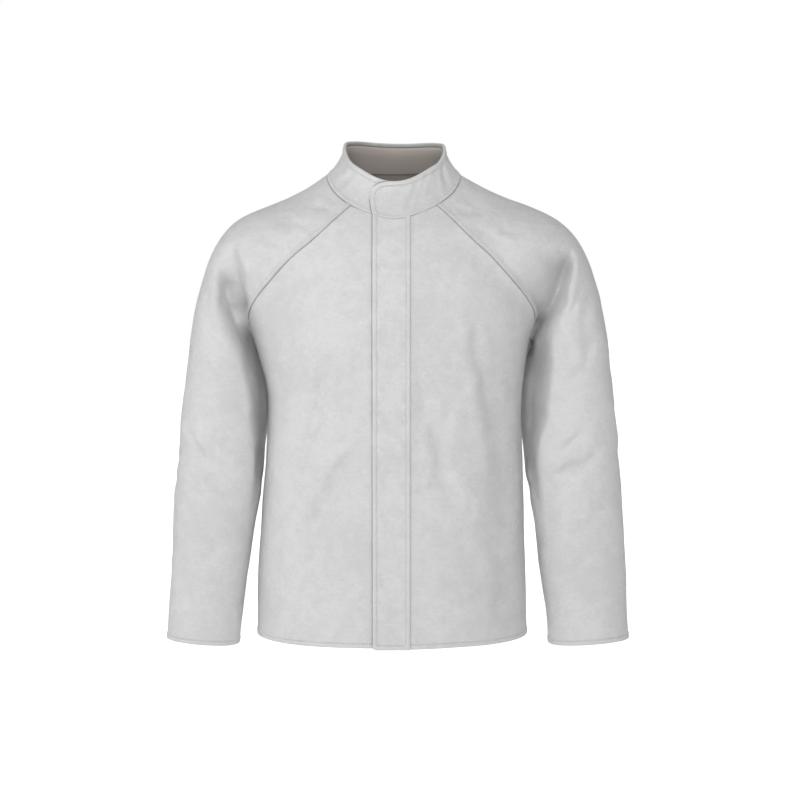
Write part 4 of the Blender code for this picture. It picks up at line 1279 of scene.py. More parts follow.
def put_stitches(name, rows):
    """One object of several rows of stitches, given as (line, normals) pairs."""
    points, faces, total = [], [], 0
    for line, lean in rows:
        some, sides = stitches(line, lean, bpy.context.scene.jacket_thread)
        points.append(some)
        faces.append(sides + total)
        total += len(some)
    made = put_mesh(name, np.concatenate(points), np.concatenate(faces), [thread_finish()])
    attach(made, "root")


# -------------------------------------------------------------------------------- finishes

class Nodes:
    """Puts nodes into one shader tree; values are outputs of other nodes or plain ones."""

    def __init__(self, tree):
        self.tree = tree

    def join(self, value, socket):
        """Links an output to a socket, or sets the socket to a plain value."""
        if isinstance(value, bpy.types.NodeSocket):
            self.tree.links.new(value, socket)
        else:
            socket.default_value = value

    def fill(self, sockets, values):
        """Joins several values to the sockets that they name."""
        for label, value in values.items():
            self.join(value, sockets[label])

    def new(self, kind, inputs=(), **settings):
        """A new node with its settings, and its inputs given as (socket, value) pairs."""
        node = self.tree.nodes.new("ShaderNode" + kind)
        for label, value in settings.items():
            setattr(node, label, value)
        self.fill(node.inputs, dict(inputs))
        return node

    def place(self):
        """Object coordinates."""
        return self.new("TexCoord").outputs["Object"]

    def uv(self, name):
        """One of the piece's own UV maps."""
        return self.new("UVMap", uv_map=name).outputs["UV"]

    def math(self, operation, first, second=None):
        """One step of arithmetic."""
        inputs = ((0, first),) if second is None else ((0, first), (1, second))
        return self.new("Math", inputs, operation=operation).outputs[0]

    def blend(self, *layers):
        """The sum of layers, each a value and its share."""
        total = None
        for value, share in layers:
            part = value if share == 1 else self.math("MULTIPLY", value, share)
            total = part if total is None else self.math("ADD", total, part)
        return total

    def noise(self, place, scale, detail, roughness=0.5):
        """A noise texture on the given coordinates."""
        return self.new("TexNoise", (("Vector", place), ("Scale", scale), ("Detail", detail),
                                     ("Roughness", roughness))).outputs["Fac"]

    def spread(self, value, low, high, to_low=0.0, to_high=1.0):
        """Maps a value's range to another by an S curve, held inside it."""
        return self.new("MapRange", (
            ("Value", value), ("From Min", low), ("From Max", high), ("To Min", to_low),
            ("To Max", to_high)), interpolation_type="SMOOTHSTEP").outputs["Result"]

    def mix(self, mask, low, high, held=True):
        """Blends two colours by a mask. Where it isn't held, a mask under 0 goes on past the
        low colour."""
        return self.new("Mix", ((0, mask), (6, (*low, 1)), (7, (*high, 1))), data_type="RGBA",
                        clamp_factor=held).outputs[2]

    def bump(self, height, distance, under=None):
        """The normal of a bump of the given depth in metres, over the normal of another."""
        inputs = {"Strength": 1.0, "Distance": distance, "Height": height}
        if under is not None:
            inputs["Normal"] = under
        return self.new("Bump", inputs).outputs["Normal"]

    def painted_shade_line(self):
        """A mask of painted shade that is 1 on a seam line or shaded edge and fades beside it, from
        the cloth's attribute.
        """
        distance = self.new("Attribute", attribute_name="painted_shade_metres").outputs["Fac"]
        return self.spread(self.math("ABSOLUTE", distance), *PAINTED_SHADE_LINE_FADES, 1.0, 0.0)

    def white_to_camera(self, strength, socket):
        """A glow of the given strength that the camera itself sees as full white."""
        seen = self.new("LightPath").outputs["Is Camera Ray"]
        glow = self.new("MapRange", (("Value", seen), ("To Min", strength), ("To Max", 1.0)))
        self.join(glow.outputs["Result"], socket)


def kept(shelf, name):
    """Makes a finish or a group under its name the first time, and finds it there later."""
    def wrap(build):
        def find():
            stored = getattr(bpy.data, shelf)
            return stored[name] if name in stored else build(name)
        return find
    return wrap


def new_finish(name):
    """A new material with only a Principled shader: the material, its nodes and the shader's
    inputs."""
    made = bpy.data.materials.new(name)
    made.use_nodes = True
    return made, Nodes(made.node_tree), made.node_tree.nodes["Principled BSDF"].inputs


def new_group(name, given, out):
    """An empty shader group with the sockets named: the group, its nodes, what it is given and
    what it puts out."""
    group = bpy.data.node_groups.new(name, "ShaderNodeTree")
    for label, kind in given:
        group.interface.new_socket(label, in_out="INPUT", socket_type="NodeSocket" + kind)
    for label in out:
        group.interface.new_socket(label, in_out="OUTPUT", socket_type="NodeSocketFloat")
    return (group, Nodes(group), group.nodes.new("NodeGroupInput").outputs,
            group.nodes.new("NodeGroupOutput").inputs)


@kept("node_groups", "leather_grain")
def grain_group(name):
    """Leather grain: small pebbles between fine lines, over soft wrinkles. Height is in shares
    of the grain's depth and Mottle is a slow change of shade around one half."""
    group, nodes, given, out = new_group(
        name, (("Vector", "Vector"), ("Pebbles per metre", "Float")), ("Height", "Mottle"))
    place, count = given["Vector"], given["Pebbles per metre"]
    cells = nodes.new("TexVoronoi", (("Vector", place), ("Scale", count)),
                      feature="DISTANCE_TO_EDGE")
    pebble = nodes.math("MINIMUM", nodes.math("MULTIPLY", cells.outputs["Distance"], 4.0), 1.0)
    fine = nodes.noise(place, nodes.math("MULTIPLY", count, 1.9), 3.0)
    stretched = nodes.new("VectorMath", ((0, place), (1, (0.5, 0.7, 1.0))),
                          operation="MULTIPLY").outputs[0]
    streaks = nodes.noise(stretched, 290.0, 3.0, 0.6)
    nodes.fill(out, {
        "Height": nodes.blend((pebble, 0.4), (fine, 0.4),
                              (nodes.noise(place, 150.0, 4.0, 0.6), 1.5), (streaks, 1.0),
                              (nodes.noise(stretched, 62.0, 4.0, 0.6), 3.2)),
        "Mottle": nodes.blend((nodes.noise(place, 9.0, 3.0, 0.55), 0.35),
                              (nodes.noise(place, 48.0, 5.0, 0.65), 0.4), (streaks, 0.25))})
    return group


@kept("node_groups", "stitch_grooves")
def grooves_group(name):
    """What sewing does to leather: a narrow groove along each stitch row, with painted shade in it,
    and small puckers about it. Reads the distances to double and single rows from a UV; Height is
    in shares of the groove's depth, and Shade, the painted shade in the colour, is 1 in a groove."""
    group, nodes, given, out = new_group(
        name, (("Distances", "Vector"), ("Place", "Vector")), ("Height", "Shade"))
    parts = nodes.new("SeparateXYZ", ((0, given["Distances"]),)).outputs
    groove = pucker = 0.0
    for channel, row in ((0, RAGLAN_ROWS[0]), (0, RAGLAN_ROWS[1]), (1, SINGLE_ROW)):
        apart = nodes.math("ABSOLUTE", nodes.math("SUBTRACT", parts[channel], row))
        groove = nodes.math("MAXIMUM", nodes.spread(apart, *GROOVE_FADES, 1.0, 0.0), groove)
        pucker = nodes.math("MAXIMUM", nodes.spread(apart, *PUCKER_FADES, 1.0, 0.0), pucker)
    waves = nodes.math("SUBTRACT", nodes.noise(given["Place"], 170.0, 2.0), 0.5)
    nodes.fill(out, {"Height": nodes.blend((nodes.math("MULTIPLY", waves, pucker), 1.6),
                                           (groove, -1.0)),
                     "Shade": groove})
    return group


@kept("materials", "pale_leather")
def leather_finish(name):
    """Pale smooth leather: grain, soft wrinkles, grooves at the stitch rows and a slight random
    change of tone, with painted shade in the stitch grooves and along seam lines and shaded edges."""
    look = bpy.context.scene.jacket_leather
    made, nodes, shader = new_finish(name)
    place = nodes.place()
    grain = nodes.new("Group", (("Vector", place), ("Pebbles per metre", look.pebbles)),
                      node_tree=grain_group()).outputs
    sewn = nodes.new("Group", (("Distances", nodes.uv("seam_metres")), ("Place", place)),
                     node_tree=grooves_group()).outputs
    base = np.array(look.colour)
    # The colour darkens with the mottle, the leather's own uneven tone, and with painted shade in
    # the stitch grooves and along seam lines and shaded edges
    mask = nodes.blend((nodes.spread(grain["Mottle"], 0.40, 0.60), 1.0),
                       (sewn["Shade"], -look.groove_painted_shade),
                       (nodes.painted_shade_line(), -look.painted_shade_line_strength))
    nodes.fill(shader, {
        "Base Color": nodes.mix(mask, base * np.array(look.mottle_and_painted_shade_share), base, False),
        "Roughness": nodes.spread(grain["Mottle"], 0.35, 0.65, look.roughness + 0.06,
                                  look.roughness - 0.05),
        "Normal": nodes.bump(sewn["Height"], look.groove_depth,
                             nodes.bump(grain["Height"], look.grain_depth)),
        "Specular IOR Level": 0.45, "Sheen Weight": 0.08, "Sheen Roughness": 0.5})
    return made


@kept("materials", "taupe_lining")
def lining_finish(name):
    """Taupe lining with fine ribs up the cloth, which the cloth's own metres place."""
    look = bpy.context.scene.jacket_lining
    made, nodes, shader = new_finish(name)
    parts = nodes.new("SeparateXYZ", ((0, nodes.uv("cloth_metres")),)).outputs

    def wave(metres, length):
        return nodes.math("SINE", nodes.math("MULTIPLY", metres, 2 * math.pi / length))

    rib = nodes.math("ADD", nodes.math("MULTIPLY", wave(parts[0], look.rib), 0.5), 0.5)
    height = nodes.blend((rib, 1.0), (wave(parts[1], look.rib * 0.45), 0.15),
                         (nodes.noise(nodes.place(), 700.0, 3.0), 0.5))
    base = np.array(look.colour)
    # painted shade darkens the lining near its seams, at its top under the collar's roll and over
    # the whole neck strip
    mask = nodes.blend((nodes.spread(rib, 0.0, 1.0), 1.0), (nodes.painted_shade_line(), -1.6))
    nodes.fill(shader, {
        "Base Color": nodes.mix(mask, base * 0.70, base, False),
        "Normal": nodes.bump(height, 0.0005),
        "Roughness": 0.88, "Specular IOR Level": 0.2, "Sheen Weight": 0.25,
        "Sheen Roughness": 0.4})
    return made


@kept("materials", "cream_thread")
def thread_finish(name):
    """Cream sewing thread, a little lighter and darker along the rows."""
    made, nodes, shader = new_finish(name)
    base = np.array(bpy.context.scene.jacket_thread.colour)
    speck = nodes.spread(nodes.noise(nodes.place(), 900.0, 2.0), 0.3, 0.7)
    nodes.fill(shader, {"Base Color": nodes.mix(speck, base * 0.86, base), "Roughness": 0.6,
                        "Sheen Weight": 0.2})
    return made


# ------------------------------------------------------------------------------- settings

class JacketLeather(bpy.types.PropertyGroup):
    """The leather shells."""

    colour: FloatVectorProperty(name="Colour", description="Lit colour of the leather",
                                default=(0.735, 0.735, 0.74), subtype="COLOR", min=0, max=1)
    # the dark end of the mottle, the leather's own uneven tone; the painted shade in grooves and
    # along seam lines goes on darker past it
    mottle_and_painted_shade_share: FloatVectorProperty(name="Dark share", description="Colour of darker patches",
                                    default=(0.905, 0.905, 0.90), min=0, max=1)
    roughness: FloatProperty(name="Roughness", description="How matt the leather is",
                             default=0.5, min=0, max=1)
    pebbles: FloatProperty(name="Pebbles per metre", description="Fineness of the grain",
                           default=900.0, min=100, max=4000)
    grain_depth: FloatProperty(name="Grain depth", description="Depth of grain and wrinkles",
                               default=0.0005, min=0, max=0.002, unit="LENGTH")
    groove_depth: FloatProperty(name="Groove depth", description="Depth of a stitch row's groove",
                                default=0.0005, min=0, max=0.003, unit="LENGTH")
    # strength of the painted shade in the stitch grooves
    groove_painted_shade: FloatProperty(name="Groove shade", description="How dark a stitch row is",
                                default=3.0, min=0, max=10)
    # strength of the painted shade along seam lines and shaded edges
    painted_shade_line_strength: FloatProperty(name="Line shade", description="How dark a seam line is",
                              default=3.6, min=0, max=10)
    thickness: FloatProperty(name="Thickness", description="Thickness of one shell",
                             default=0.0018, min=0.0005, max=0.004, unit="LENGTH")
    crease_strength: FloatProperty(name="Creases", description="Depth of the creases",
                                   default=1.6, min=0, max=3, subtype="FACTOR")


class JacketThread(bpy.types.PropertyGroup):
    """The sewing thread."""

    colour: FloatVectorProperty(name="Colour", description="Colour of the thread",
                                default=(0.84, 0.82, 0.76), subtype="COLOR", min=0, max=1)
    pitch: FloatProperty(name="Pitch", description="Distance from one stitch to the next",
                         default=0.0031, min=0.001, max=0.01, unit="LENGTH")
    length: FloatProperty(name="Stitch length", description="Length of one stitch",
                          default=0.0025, min=0.001, max=0.01, unit="LENGTH")
    radius: FloatProperty(name="Thread radius", description="Half the thread's thickness",
                          default=0.00044, min=0.0001, max=0.001, unit="LENGTH")


class JacketLining(bpy.types.PropertyGroup):
    """The lining at the neck and inside."""

    colour: FloatVectorProperty(name="Colour", description="Colour of the lining",
                                default=(0.66, 0.60, 0.56), subtype="COLOR", min=0, max=1)
    rib: FloatProperty(name="Rib", description="Distance from one rib to the next",
                       default=0.0030, min=0.0005, max=0.01, unit="LENGTH")
    thickness: FloatProperty(name="Thickness", description="Thickness of the lining",
                             default=0.0009, min=0.0003, max=0.003, unit="LENGTH")


class JacketStage(bpy.types.PropertyGroup):
    """Lights, floor and camera."""

    side_power: FloatProperty(name="Side light", description="Power of the light at the left",
                              default=18.2, min=0, max=1000, unit="POWER")
    top_power: FloatProperty(name="Top light", description="Power of the light above the front",
                             default=39.6, min=0, max=1000, unit="POWER")
    sky: FloatProperty(name="Sky", description="Strength of the white surroundings",
                       default=0.345, min=0, max=3)
    floor_z: FloatProperty(name="Floor", description="Level of the floor under the jacket",
                           default=-1.45, min=-3, max=-0.7, unit="LENGTH")


# ------------------------------------------------------------------------------- operators

SHAPES = {}


def shapes():
    """The large pieces, worked out once."""
    if not SHAPES:
        SHAPES["made"], SHAPES["underarm"] = shaped()
    return SHAPES["made"], SHAPES["underarm"]


def put_panel(name):
    """One large piece: its outer surface is the form moved by the relief, its inner surface the
    form moved in by the leather's thickness."""
    made, underarm = shapes()
    cloth = made[name]
    thickness = bpy.context.scene.jacket_leather.thickness
    base = cloth.points + cloth.shift
    outer = base + cloth.normal * cloth.relief[..., None]
    side = np.argmax(np.abs(cloth.points[underarm - 1, [0, -1], 0])) * -1
    gap = np.linalg.norm(cloth.points - cloth.points[underarm - 1, side], axis=-1)
    if name == "back":
        gap = np.minimum(gap, gap[:, ::-1])
    thin = 1 - UNDERARM_THINNER * np.exp(-(gap / UNDERARM_REACH) ** 2)
    deep = np.maximum(thickness * cloth.mitre * thin, LEAST_WALL - cloth.relief)
    inner = base - cloth.normal * deep[..., None]
    piece = put_wall(name + "_shell", outer, inner, cloth.outward,
                     [leather_finish(), lining_finish()], cloth.points, 1, cloth.closed,
                     cloth.seams, cloth.line)
    stands_for(piece, name)


def edge_rows(cloth, edge, distances):
    """Lines at given distances from one edge of a piece, on its outer surface, with normals."""
    points = cloth.points + cloth.shift + cloth.normal * cloth.relief[..., None]
    gap = edge_distance(cloth.points, edge)
    return [row_beside(points, cloth.normal, gap, edge, distance) for distance in distances]


class JACKET_OT_fronts(bpy.types.Operator):
    """Both fronts, with the hem's stitching"""

    bl_idname = "jacket.fronts"
    bl_label = "Dress the fronts"

    def execute(self, context):
        """Builds both fronts and the stitches along their hem, up to the placket."""
        rows = []
        for name in ("front_right", "front_left"):
            put_panel(name)
            line, lean = edge_rows(shapes()[0][name], "first_row", (HEM_ROW,))[0]
            shown = (line[:, 0] < PLACKET_FREE_EDGE_X - 0.002) | (
                line[:, 0] > PLACKET_SEWN_EDGE_X + 0.001)
            rows.append((line[shown], lean[shown]))
        put_stitches("front_hem_stitches", rows)
        return {"FINISHED"}


class JACKET_OT_back(bpy.types.Operator):
    """The back, with its hem's stitching"""

    bl_idname = "jacket.back"
    bl_label = "Dress the back"

    def execute(self, context):
        """Builds the back and the stitches along its hem."""
        put_panel("back")
        put_stitches("back_hem_stitches", edge_rows(shapes()[0]["back"], "first_row",
                                                    (HEM_ROW,)))
        return {"FINISHED"}


class JACKET_OT_sleeves(bpy.types.Operator):
    """Both raglan sleeves, with the stitching at cuffs and raglan seams"""

    bl_idname = "jacket.sleeves"
    bl_label = "Dress the sleeves"

    def execute(self, context):
        """Builds both sleeves, the stitches round their cuffs and the double rows beside the
        raglan seams."""
        made, underarm = shapes()
        for name in ("sleeve_right", "sleeve_left"):
            put_panel(name)
            cloth = made[name]
            rows = edge_rows(cloth, "first_row", (CUFF_ROW,))
            for edge in ("first_column", "last_column"):
                rows += [(line[underarm + 2:], lean[underarm + 2:])
                         for line, lean in edge_rows(cloth, edge, RAGLAN_ROWS)]
            put_stitches(name + "_stitches", rows)
        return {"FINISHED"}


def placket_face():
    """The fronts' own points and normals between the placket's two edges, and each place's
    share of the way across. The top stops short of the collar."""
    made, _ = shapes()
    right, left = made["front_right"], made["front_left"]
    points = np.concatenate([right.points, left.points[:, 1:]], axis=1)
    normal = np.concatenate([right.normal, left.normal[:, 1:]], axis=1)
    share = graded(*PLACKET_ACROSS)
    places = PLACKET_FREE_EDGE_X + share * (PLACKET_SEWN_EDGE_X - PLACKET_FREE_EDGE_X)

    def between_edges(values):
        return np.array([[np.interp(places, across[:, 0], line) for line in row.T]
                         for across, row in zip(points, values)]).transpose(0, 2, 1)

    face, out = between_edges(points), unit(between_edges(normal))
    face[-1] -= unit(face[-1] - face[-3]) * PLACKET_TOP_SHORT
    return face, out, share


def placket_dents(face):
    """Depth of the dents: each is a bell curve exp(-r^2) of the distance r from its middle, a
    little aslant, with a raised ring at r = 1.9."""
    depth = np.zeros(face.shape[:2])
    for dent in PLACKET_DENTS:
        x = face[..., 0] - dent["x"]
        r = np.hypot(x / dent["half_width"],
                     (face[..., 2] - dent["z"] + 0.25 * x) / dent["half_height"])
        depth += dent["depth"] * (np.exp(-r ** 2) - 0.9 * np.exp(-((r - 1.9) / 0.8) ** 2))
    return depth


class JACKET_OT_placket(bpy.types.Operator):
    """The covered placket down the middle front, with its stitching"""

    bl_idname = "jacket.placket"
    bl_label = "Dress the placket"

    def execute(self, context):
        """Builds the strip over the fronts: it stands a little further off at its free edge,
        is pressed in where the hidden fastenings lie, and its edges are rounded over."""
        face, out, share = placket_face()
        free, sewn, hem, top = (edge_distance(face, edge) for edge in (
            "first_column", "last_column", "first_row", "last_row"))
        run = run_along(face, 0)
        strip = Cloth("placket", face, 1)
        height = -placket_dents(face) * smoothstep(0.006, 0.012, free)
        height *= smoothstep(0.007, 0.013, sewn)
        for cell, seed, much in UNEVEN_PLACKET:
            height += soft_noise(face, cell, seed) * much
        for gap, row, swell, along in (
                (free, PLACKET_FREE_ROW, HEM_SWELL, run), (sewn, PLACKET_SEWN_ROW, HEM_SWELL, run),
                (hem, HEM_ROW, PLACKET_HEM_SWELL, run_along(face, 1))):
            height += seam_relief(gap, 0.0, swell, (row,), along) + round_over(
                gap, PLACKET_EDGE_RADIUS)
            strip.note_seam(gap, row)
        height -= PLACKET_TUCK * np.exp(-(top / PLACKET_TUCK_REACH) ** 2)
        stand = PLACKET_STANDS_OFF + PLACKET_LIFTS * (1 - share)[None, :] ** 1.5
        outer = face + out * (stand + context.scene.jacket_leather.thickness + height)[..., None]
        inner = face + out * stand[..., None]
        corner = PLACKET_CORNER * (1 - smoothstep(0.0, 0.007, free)) ** 2
        drop = (PLACKET_DROP - corner) * (1 - smoothstep(0.0, 0.03, hem))
        outer[..., 2] -= drop
        inner[..., 2] -= drop
        piece = put_wall("placket_shell", outer, inner, 1, [leather_finish(), lining_finish()],
                         face, seams=strip.seams)
        stands_for(piece, "placket")
        strip.points = outer
        strip.refresh()
        rows = []
        for gap, edge, distance, end in (
                (free, "first_column", PLACKET_FREE_ROW, -2),
                (sewn, "last_column", PLACKET_SEWN_ROW, -2), (hem, "first_row", HEM_ROW, -3)):
            line, lean = row_beside(outer, strip.normal, gap, edge, distance)
            rows.append((line[3:end], lean[3:end]))
        put_stitches("placket_stitches", rows)
        return {"FINISHED"}


def collar_flare(height):
    """How much of the way from the rim's outline to the neck seam's the band still is."""
    return (1 - height) ** COLLAR_FLARE


def collar_point(angle, height, lift):
    """A place on the collar band: height 0 is the neck seam and 1 the rim; lift moves out."""
    base, rim = neck_ring(angle), rim_ring(angle)
    level = base[..., 2:] + (rim[..., 2:] - base[..., 2:]) * height[..., None]
    plan = rim[..., :2] + (base[..., :2] - rim[..., :2]) * collar_flare(height)[..., None]
    outwards = np.stack([np.sin(angle), -np.cos(angle) * NECK_HALF_WIDTH / NECK_HALF_DEPTH,
                         np.zeros_like(angle)], axis=-1)
    return np.concatenate([plan, level], axis=-1) + unit(outwards) * lift[..., None]


def collar_angle(x, height):
    """The angle at which the band has the given x near the middle front, at each height."""
    flare = collar_flare(height)
    half_width = RIM_HALF_WIDTH + (NECK_HALF_WIDTH - RIM_HALF_WIDTH) * flare
    middle = RIM_SHIFT_X + (NECK_SHIFT_X - RIM_SHIFT_X) * flare
    return np.arcsin((x - middle) / half_width)


def collar_grid():
    """The collar band: it starts under its own free end, goes once round the neck by the right
    side and the back, and laps over its start up to an upright free end, whose upper corner is
    rounded. Gives its points and how many of them, along the band, are once round."""
    height = graded(*COLLAR_UP)
    start = collar_angle(COLLAR_UNDER_END_X, 0.0)
    once_round = 2 * math.pi - COLLAR_END_GAP / NECK_HALF_DEPTH
    lap = 2 * math.pi + start - collar_angle(COLLAR_OVER_END_X, height) - once_round
    corner_share = COLLAR_CORNER / (lap[0] * NECK_HALF_WIDTH)
    turn = np.linspace(0, math.pi / 2, COLLAR_CORNER_ROWS)[1:]
    share = np.concatenate([np.linspace(0, 1 - corner_share, COLLAR_LAP_POINTS)[1:],
                            1 - corner_share * (1 - np.sin(turn))])
    stops = [0, *(stop / NECK_HALF_WIDTH for stop in COLLAR_FINE), once_round]
    round_travel = np.concatenate([
        np.linspace(low, high, count)[:-1] for low, high, count in zip(
            stops, stops[1:], COLLAR_ROUND_POINTS)] + [[once_round]])
    travel = np.concatenate([np.repeat(round_travel[:, None], len(height), axis=1),
                             once_round + share[:, None] * lap])
    to_go = (once_round - travel) * NECK_HALF_WIDTH
    lift = COLLAR_STANDS_OFF * (1 - smoothstep(0.0, COLLAR_LIFT_LENGTH, to_go))
    cut = np.zeros(len(travel))
    cut[-len(turn):] = COLLAR_CORNER_HEIGHT / COLLAR_FRONT_HEIGHT * (1 - np.cos(turn))
    points = collar_point(start - travel, height * (1 - cut[:, None]), lift)
    points[..., 2] += SEAM_GAP
    hang = COLLAR_HANGS * np.exp(-((points[..., 0] - NECK_SHIFT_X) / COLLAR_HANG_REACH) ** 2)
    hang = hang * (points[..., 1] < 0) * (1 - height) ** 2
    points[..., 2] -= hang
    points[..., 1] -= COLLAR_HANG_SLOPE * hang
    return points, len(round_travel), height


def end_distance(points, rows):
    """How far the points of some of the band's rows are, seen from the front, from the edge
    of its free end and of that end's rounded corner."""
    edge = np.concatenate([points[-COLLAR_CORNER_ROWS:, -1], points[-1, ::-1]])[:, None, None]
    flat = points[None, rows][..., [0, 2]] - edge[..., [0, 2]]
    return np.sqrt((flat ** 2).sum(axis=-1)).min(axis=0)


# Creases across the collar band: angle from the middle front at the seam and at the rim,
# lowest and highest height, half width and depth
COLLAR_CREASES = table(
    "low_angle high_angle low high half_width depth",
    (0.12, 0.66, 0.15, 0.85, 0.0065, 0.0009),
    (0.26, 0.84, 0.30, 1.00, 0.0060, 0.0007),
    (-0.62, -0.42, 0.10, 0.80, 0.0060, 0.0008),
    (-1.20, -0.95, 0.10, 0.90, 0.0060, 0.0010),
    (1.05, 1.30, 0.10, 0.90, 0.0060, 0.0010),
    (2.30, 2.45, 0.10, 0.80, 0.0070, 0.0010),
    (-2.50, -2.30, 0.10, 0.80, 0.0070, 0.0010),
    (3.00, 3.10, 0.10, 0.70, 0.0080, 0.0008),
    scale=1,
)


def collar_creases(angle, height):
    """Depth of the collar's creases: each runs straight from its low to its high angle, with a
    bell curve across it and a fade at both ends."""
    depth = np.zeros(angle.shape)
    for crease in COLLAR_CREASES:
        middle = crease["low_angle"] + (crease["high_angle"] - crease["low_angle"]) * height
        apart = (angle - middle + math.pi) % (2 * math.pi) - math.pi
        r = apart * NECK_HALF_DEPTH / crease["half_width"]
        fade = hump((crease["low"] - 0.15, crease["low"] + 0.2),
                    (crease["high"] - 0.2, crease["high"] + 0.1), height)
        depth += crease["depth"] * fade * (np.exp(-r ** 2)
                                           - 0.4 * np.exp(-((np.abs(r) - 1.9) / 0.9) ** 2))
    return depth


class JACKET_OT_collar(bpy.types.Operator):
    """The stand collar with its lapped end, and its ribbed lining"""

    bl_idname = "jacket.collar"
    bl_label = "Dress the collar"

    def execute(self, context):
        """Builds the leather band, the lining inside it and the stitches along its rim, its
        free end and its lower edge."""
        leather = context.scene.jacket_leather
        points, round_count, height = collar_grid()
        band = Cloth("collar", points, 1)
        angle = np.arctan2(points[..., 0] - NECK_SHIFT_X, -(points[..., 1] - NECK_MIDDLE_Y))
        share = np.broadcast_to(height, angle.shape)
        depth = collar_creases(angle, share) * leather.crease_strength
        for cell, seed, much in UNEVEN_COLLAR:
            depth += soft_noise(points, cell, seed) * much
        base = edge_distance(points, "first_column")
        rim = edge_distance(points, "last_column")
        free = np.ones(angle.shape)
        lap = slice(-COLLAR_LAP_ROWS, None)
        free[lap] = end_distance(points, lap)
        edge = np.minimum(rim, free)
        edge[-COLLAR_CORNER_ROWS:] = free[-COLLAR_CORNER_ROWS:]
        run = run_along(points, 0)
        relief = -depth * smoothstep(0.004, 0.010, edge) * smoothstep(0.003, 0.008, base)
        relief += seam_relief(base, 0.0, COLLAR_SWELL, (COLLAR_BASE_ROW,), run)
        relief += seam_relief(edge, 0.0, COLLAR_SWELL, (COLLAR_RIM_ROW,), run)
        relief += round_over(edge, COLLAR_EDGE_RADIUS) + round_over(base, COLLAR_BASE_RADIUS)
        under = slice(None, COLLAR_UNDER_ROWS)
        beneath = end_distance(points, under)
        relief[under] -= COLLAR_DENT * np.exp(-(beneath / COLLAR_DENT_REACH) ** 2)
        band.note_seam(base, COLLAR_BASE_ROW)
        band.note_seam(edge, COLLAR_RIM_ROW)
        # painted shadow on the band just beside the edge of its free end, which lies over it
        band.line[under] = beneath - 0.0004
        # painted shade along the band's lower edge near the middle front, fading out towards the
        # sides and none behind
        band.note_painted_shade(base + 0.0013 * smoothstep(0.030, 0.065, np.abs(points[..., 0]))
                       + 0.01 * (points[..., 1] > 0))
        outer = points + band.normal * relief[..., None]
        roll = 1 - smoothstep(COLLAR_ROLL - 0.0008, COLLAR_ROLL + 0.0002, rim)
        roll = roll * smoothstep(-0.0004, 0.0012, rim)
        inner = points - band.normal * (leather.thickness
                                       + COLLAR_ROLL_THICKER * roll)[..., None]
        inner[:, 0, 2] = outer[:, 0, 2]
        # the inside of the band gets painted shade over the rim's roll, darkest at the roll's lower
        # edge
        piece = put_wall("collar_shell", outer, inner, 1, [leather_finish()] * 2, points, 0,
                         seams=band.seams, line=band.line,
                         inner_painted_shade=(rim - COLLAR_ROLL) * ROLL_PAINTED_SHADE_SHARE)
        stands_for(piece, "collar")
        corner = -COLLAR_CORNER_ROWS
        before = slice(None, corner + 1)
        line, lean = row_beside(outer, band.normal, free, "last_row", COLLAR_RIM_ROW)
        keep = (rim[corner] > COLLAR_RIM_ROW) & (base[corner] > COLLAR_BASE_ROW)
        put_stitches("collar_stitches", [
            row_beside(outer, band.normal, base, "first_column", COLLAR_BASE_ROW),
            row_beside(outer[before], band.normal[before], rim[before], "last_column",
                       COLLAR_RIM_ROW),
            (line[keep], lean[keep])])
        self.line_collar(context, points[:round_count], band.normal[:round_count])
        return {"FINISHED"}

    def line_collar(self, context, points, normal):
        """Builds the lining inside the band, which stops below the rim."""
        thickness = context.scene.jacket_lining.thickness
        stands_in = context.scene.jacket_leather.thickness + 0.0005
        rim = edge_distance(points, "last_column")
        lower = unit(points[:, -1:] - points[:, -6:-5]) * (COLLAR_ROLL + 0.0002)
        lower = lower * (1 - smoothstep(0.0, 0.03, rim))[..., None]
        face = points - lower - normal * stands_in
        swell = 0.0007 * smoothstep(0.0, 0.003, rim) + 0.0004 * soft_noise(points, 0.03, 21)
        inner = face - normal * (thickness + np.maximum(swell, 0))[..., None]
        inner[:, 0, 2] = face[:, 0, 2] = points[:, 0, 2]
        # painted shade at the lining's top, under the leather roll, and along a line just above its
        # lower seam
        line = edge_distance(points, "first_column") - 0.0010
        line = np.where(rim < 0.03, rim, line)
        piece = put_wall("collar_lining_shell", face, inner, 1, [lining_finish()] * 2, points, 0,
                         inner_painted_shade=line)
        stands_for(piece, "collar_lining")


class JACKET_OT_neck_lining(bpy.types.Operator):
    """The strip of lining under the inside neck seam"""

    bl_idname = "jacket.neck_lining"
    bl_label = "Dress the neck lining"

    def execute(self, context):
        """Builds the strip from the back's points near the neck, moved in."""
        made, _ = shapes()
        back = made["back"]
        across = np.flatnonzero(
            np.abs(back.points[-1, :, 0] - NECK_SHIFT_X) <= NECK_LINING_HALF_WIDTH)
        strip = (slice(-NECK_LINING_ROWS, None), slice(across[0], across[-1] + 1))
        points, normal = back.points[strip].copy(), back.normal[strip]
        thickness = context.scene.jacket_lining.thickness
        points[-1] -= unit(points[-1] - points[-3]) * 0.0005
        face = points - normal * (context.scene.jacket_leather.thickness + 0.0008)
        inner = face - normal * thickness
        # painted shade over the whole strip, which lies in shade under the collar
        piece = put_wall("neck_lining_shell", face, inner, -1, [lining_finish()] * 2, points,
                         inner_painted_shade=np.full(points.shape[:2], NECK_LINING_PAINTED_SHADE))
        stands_for(piece, "neck_lining")
        return {"FINISHED"}


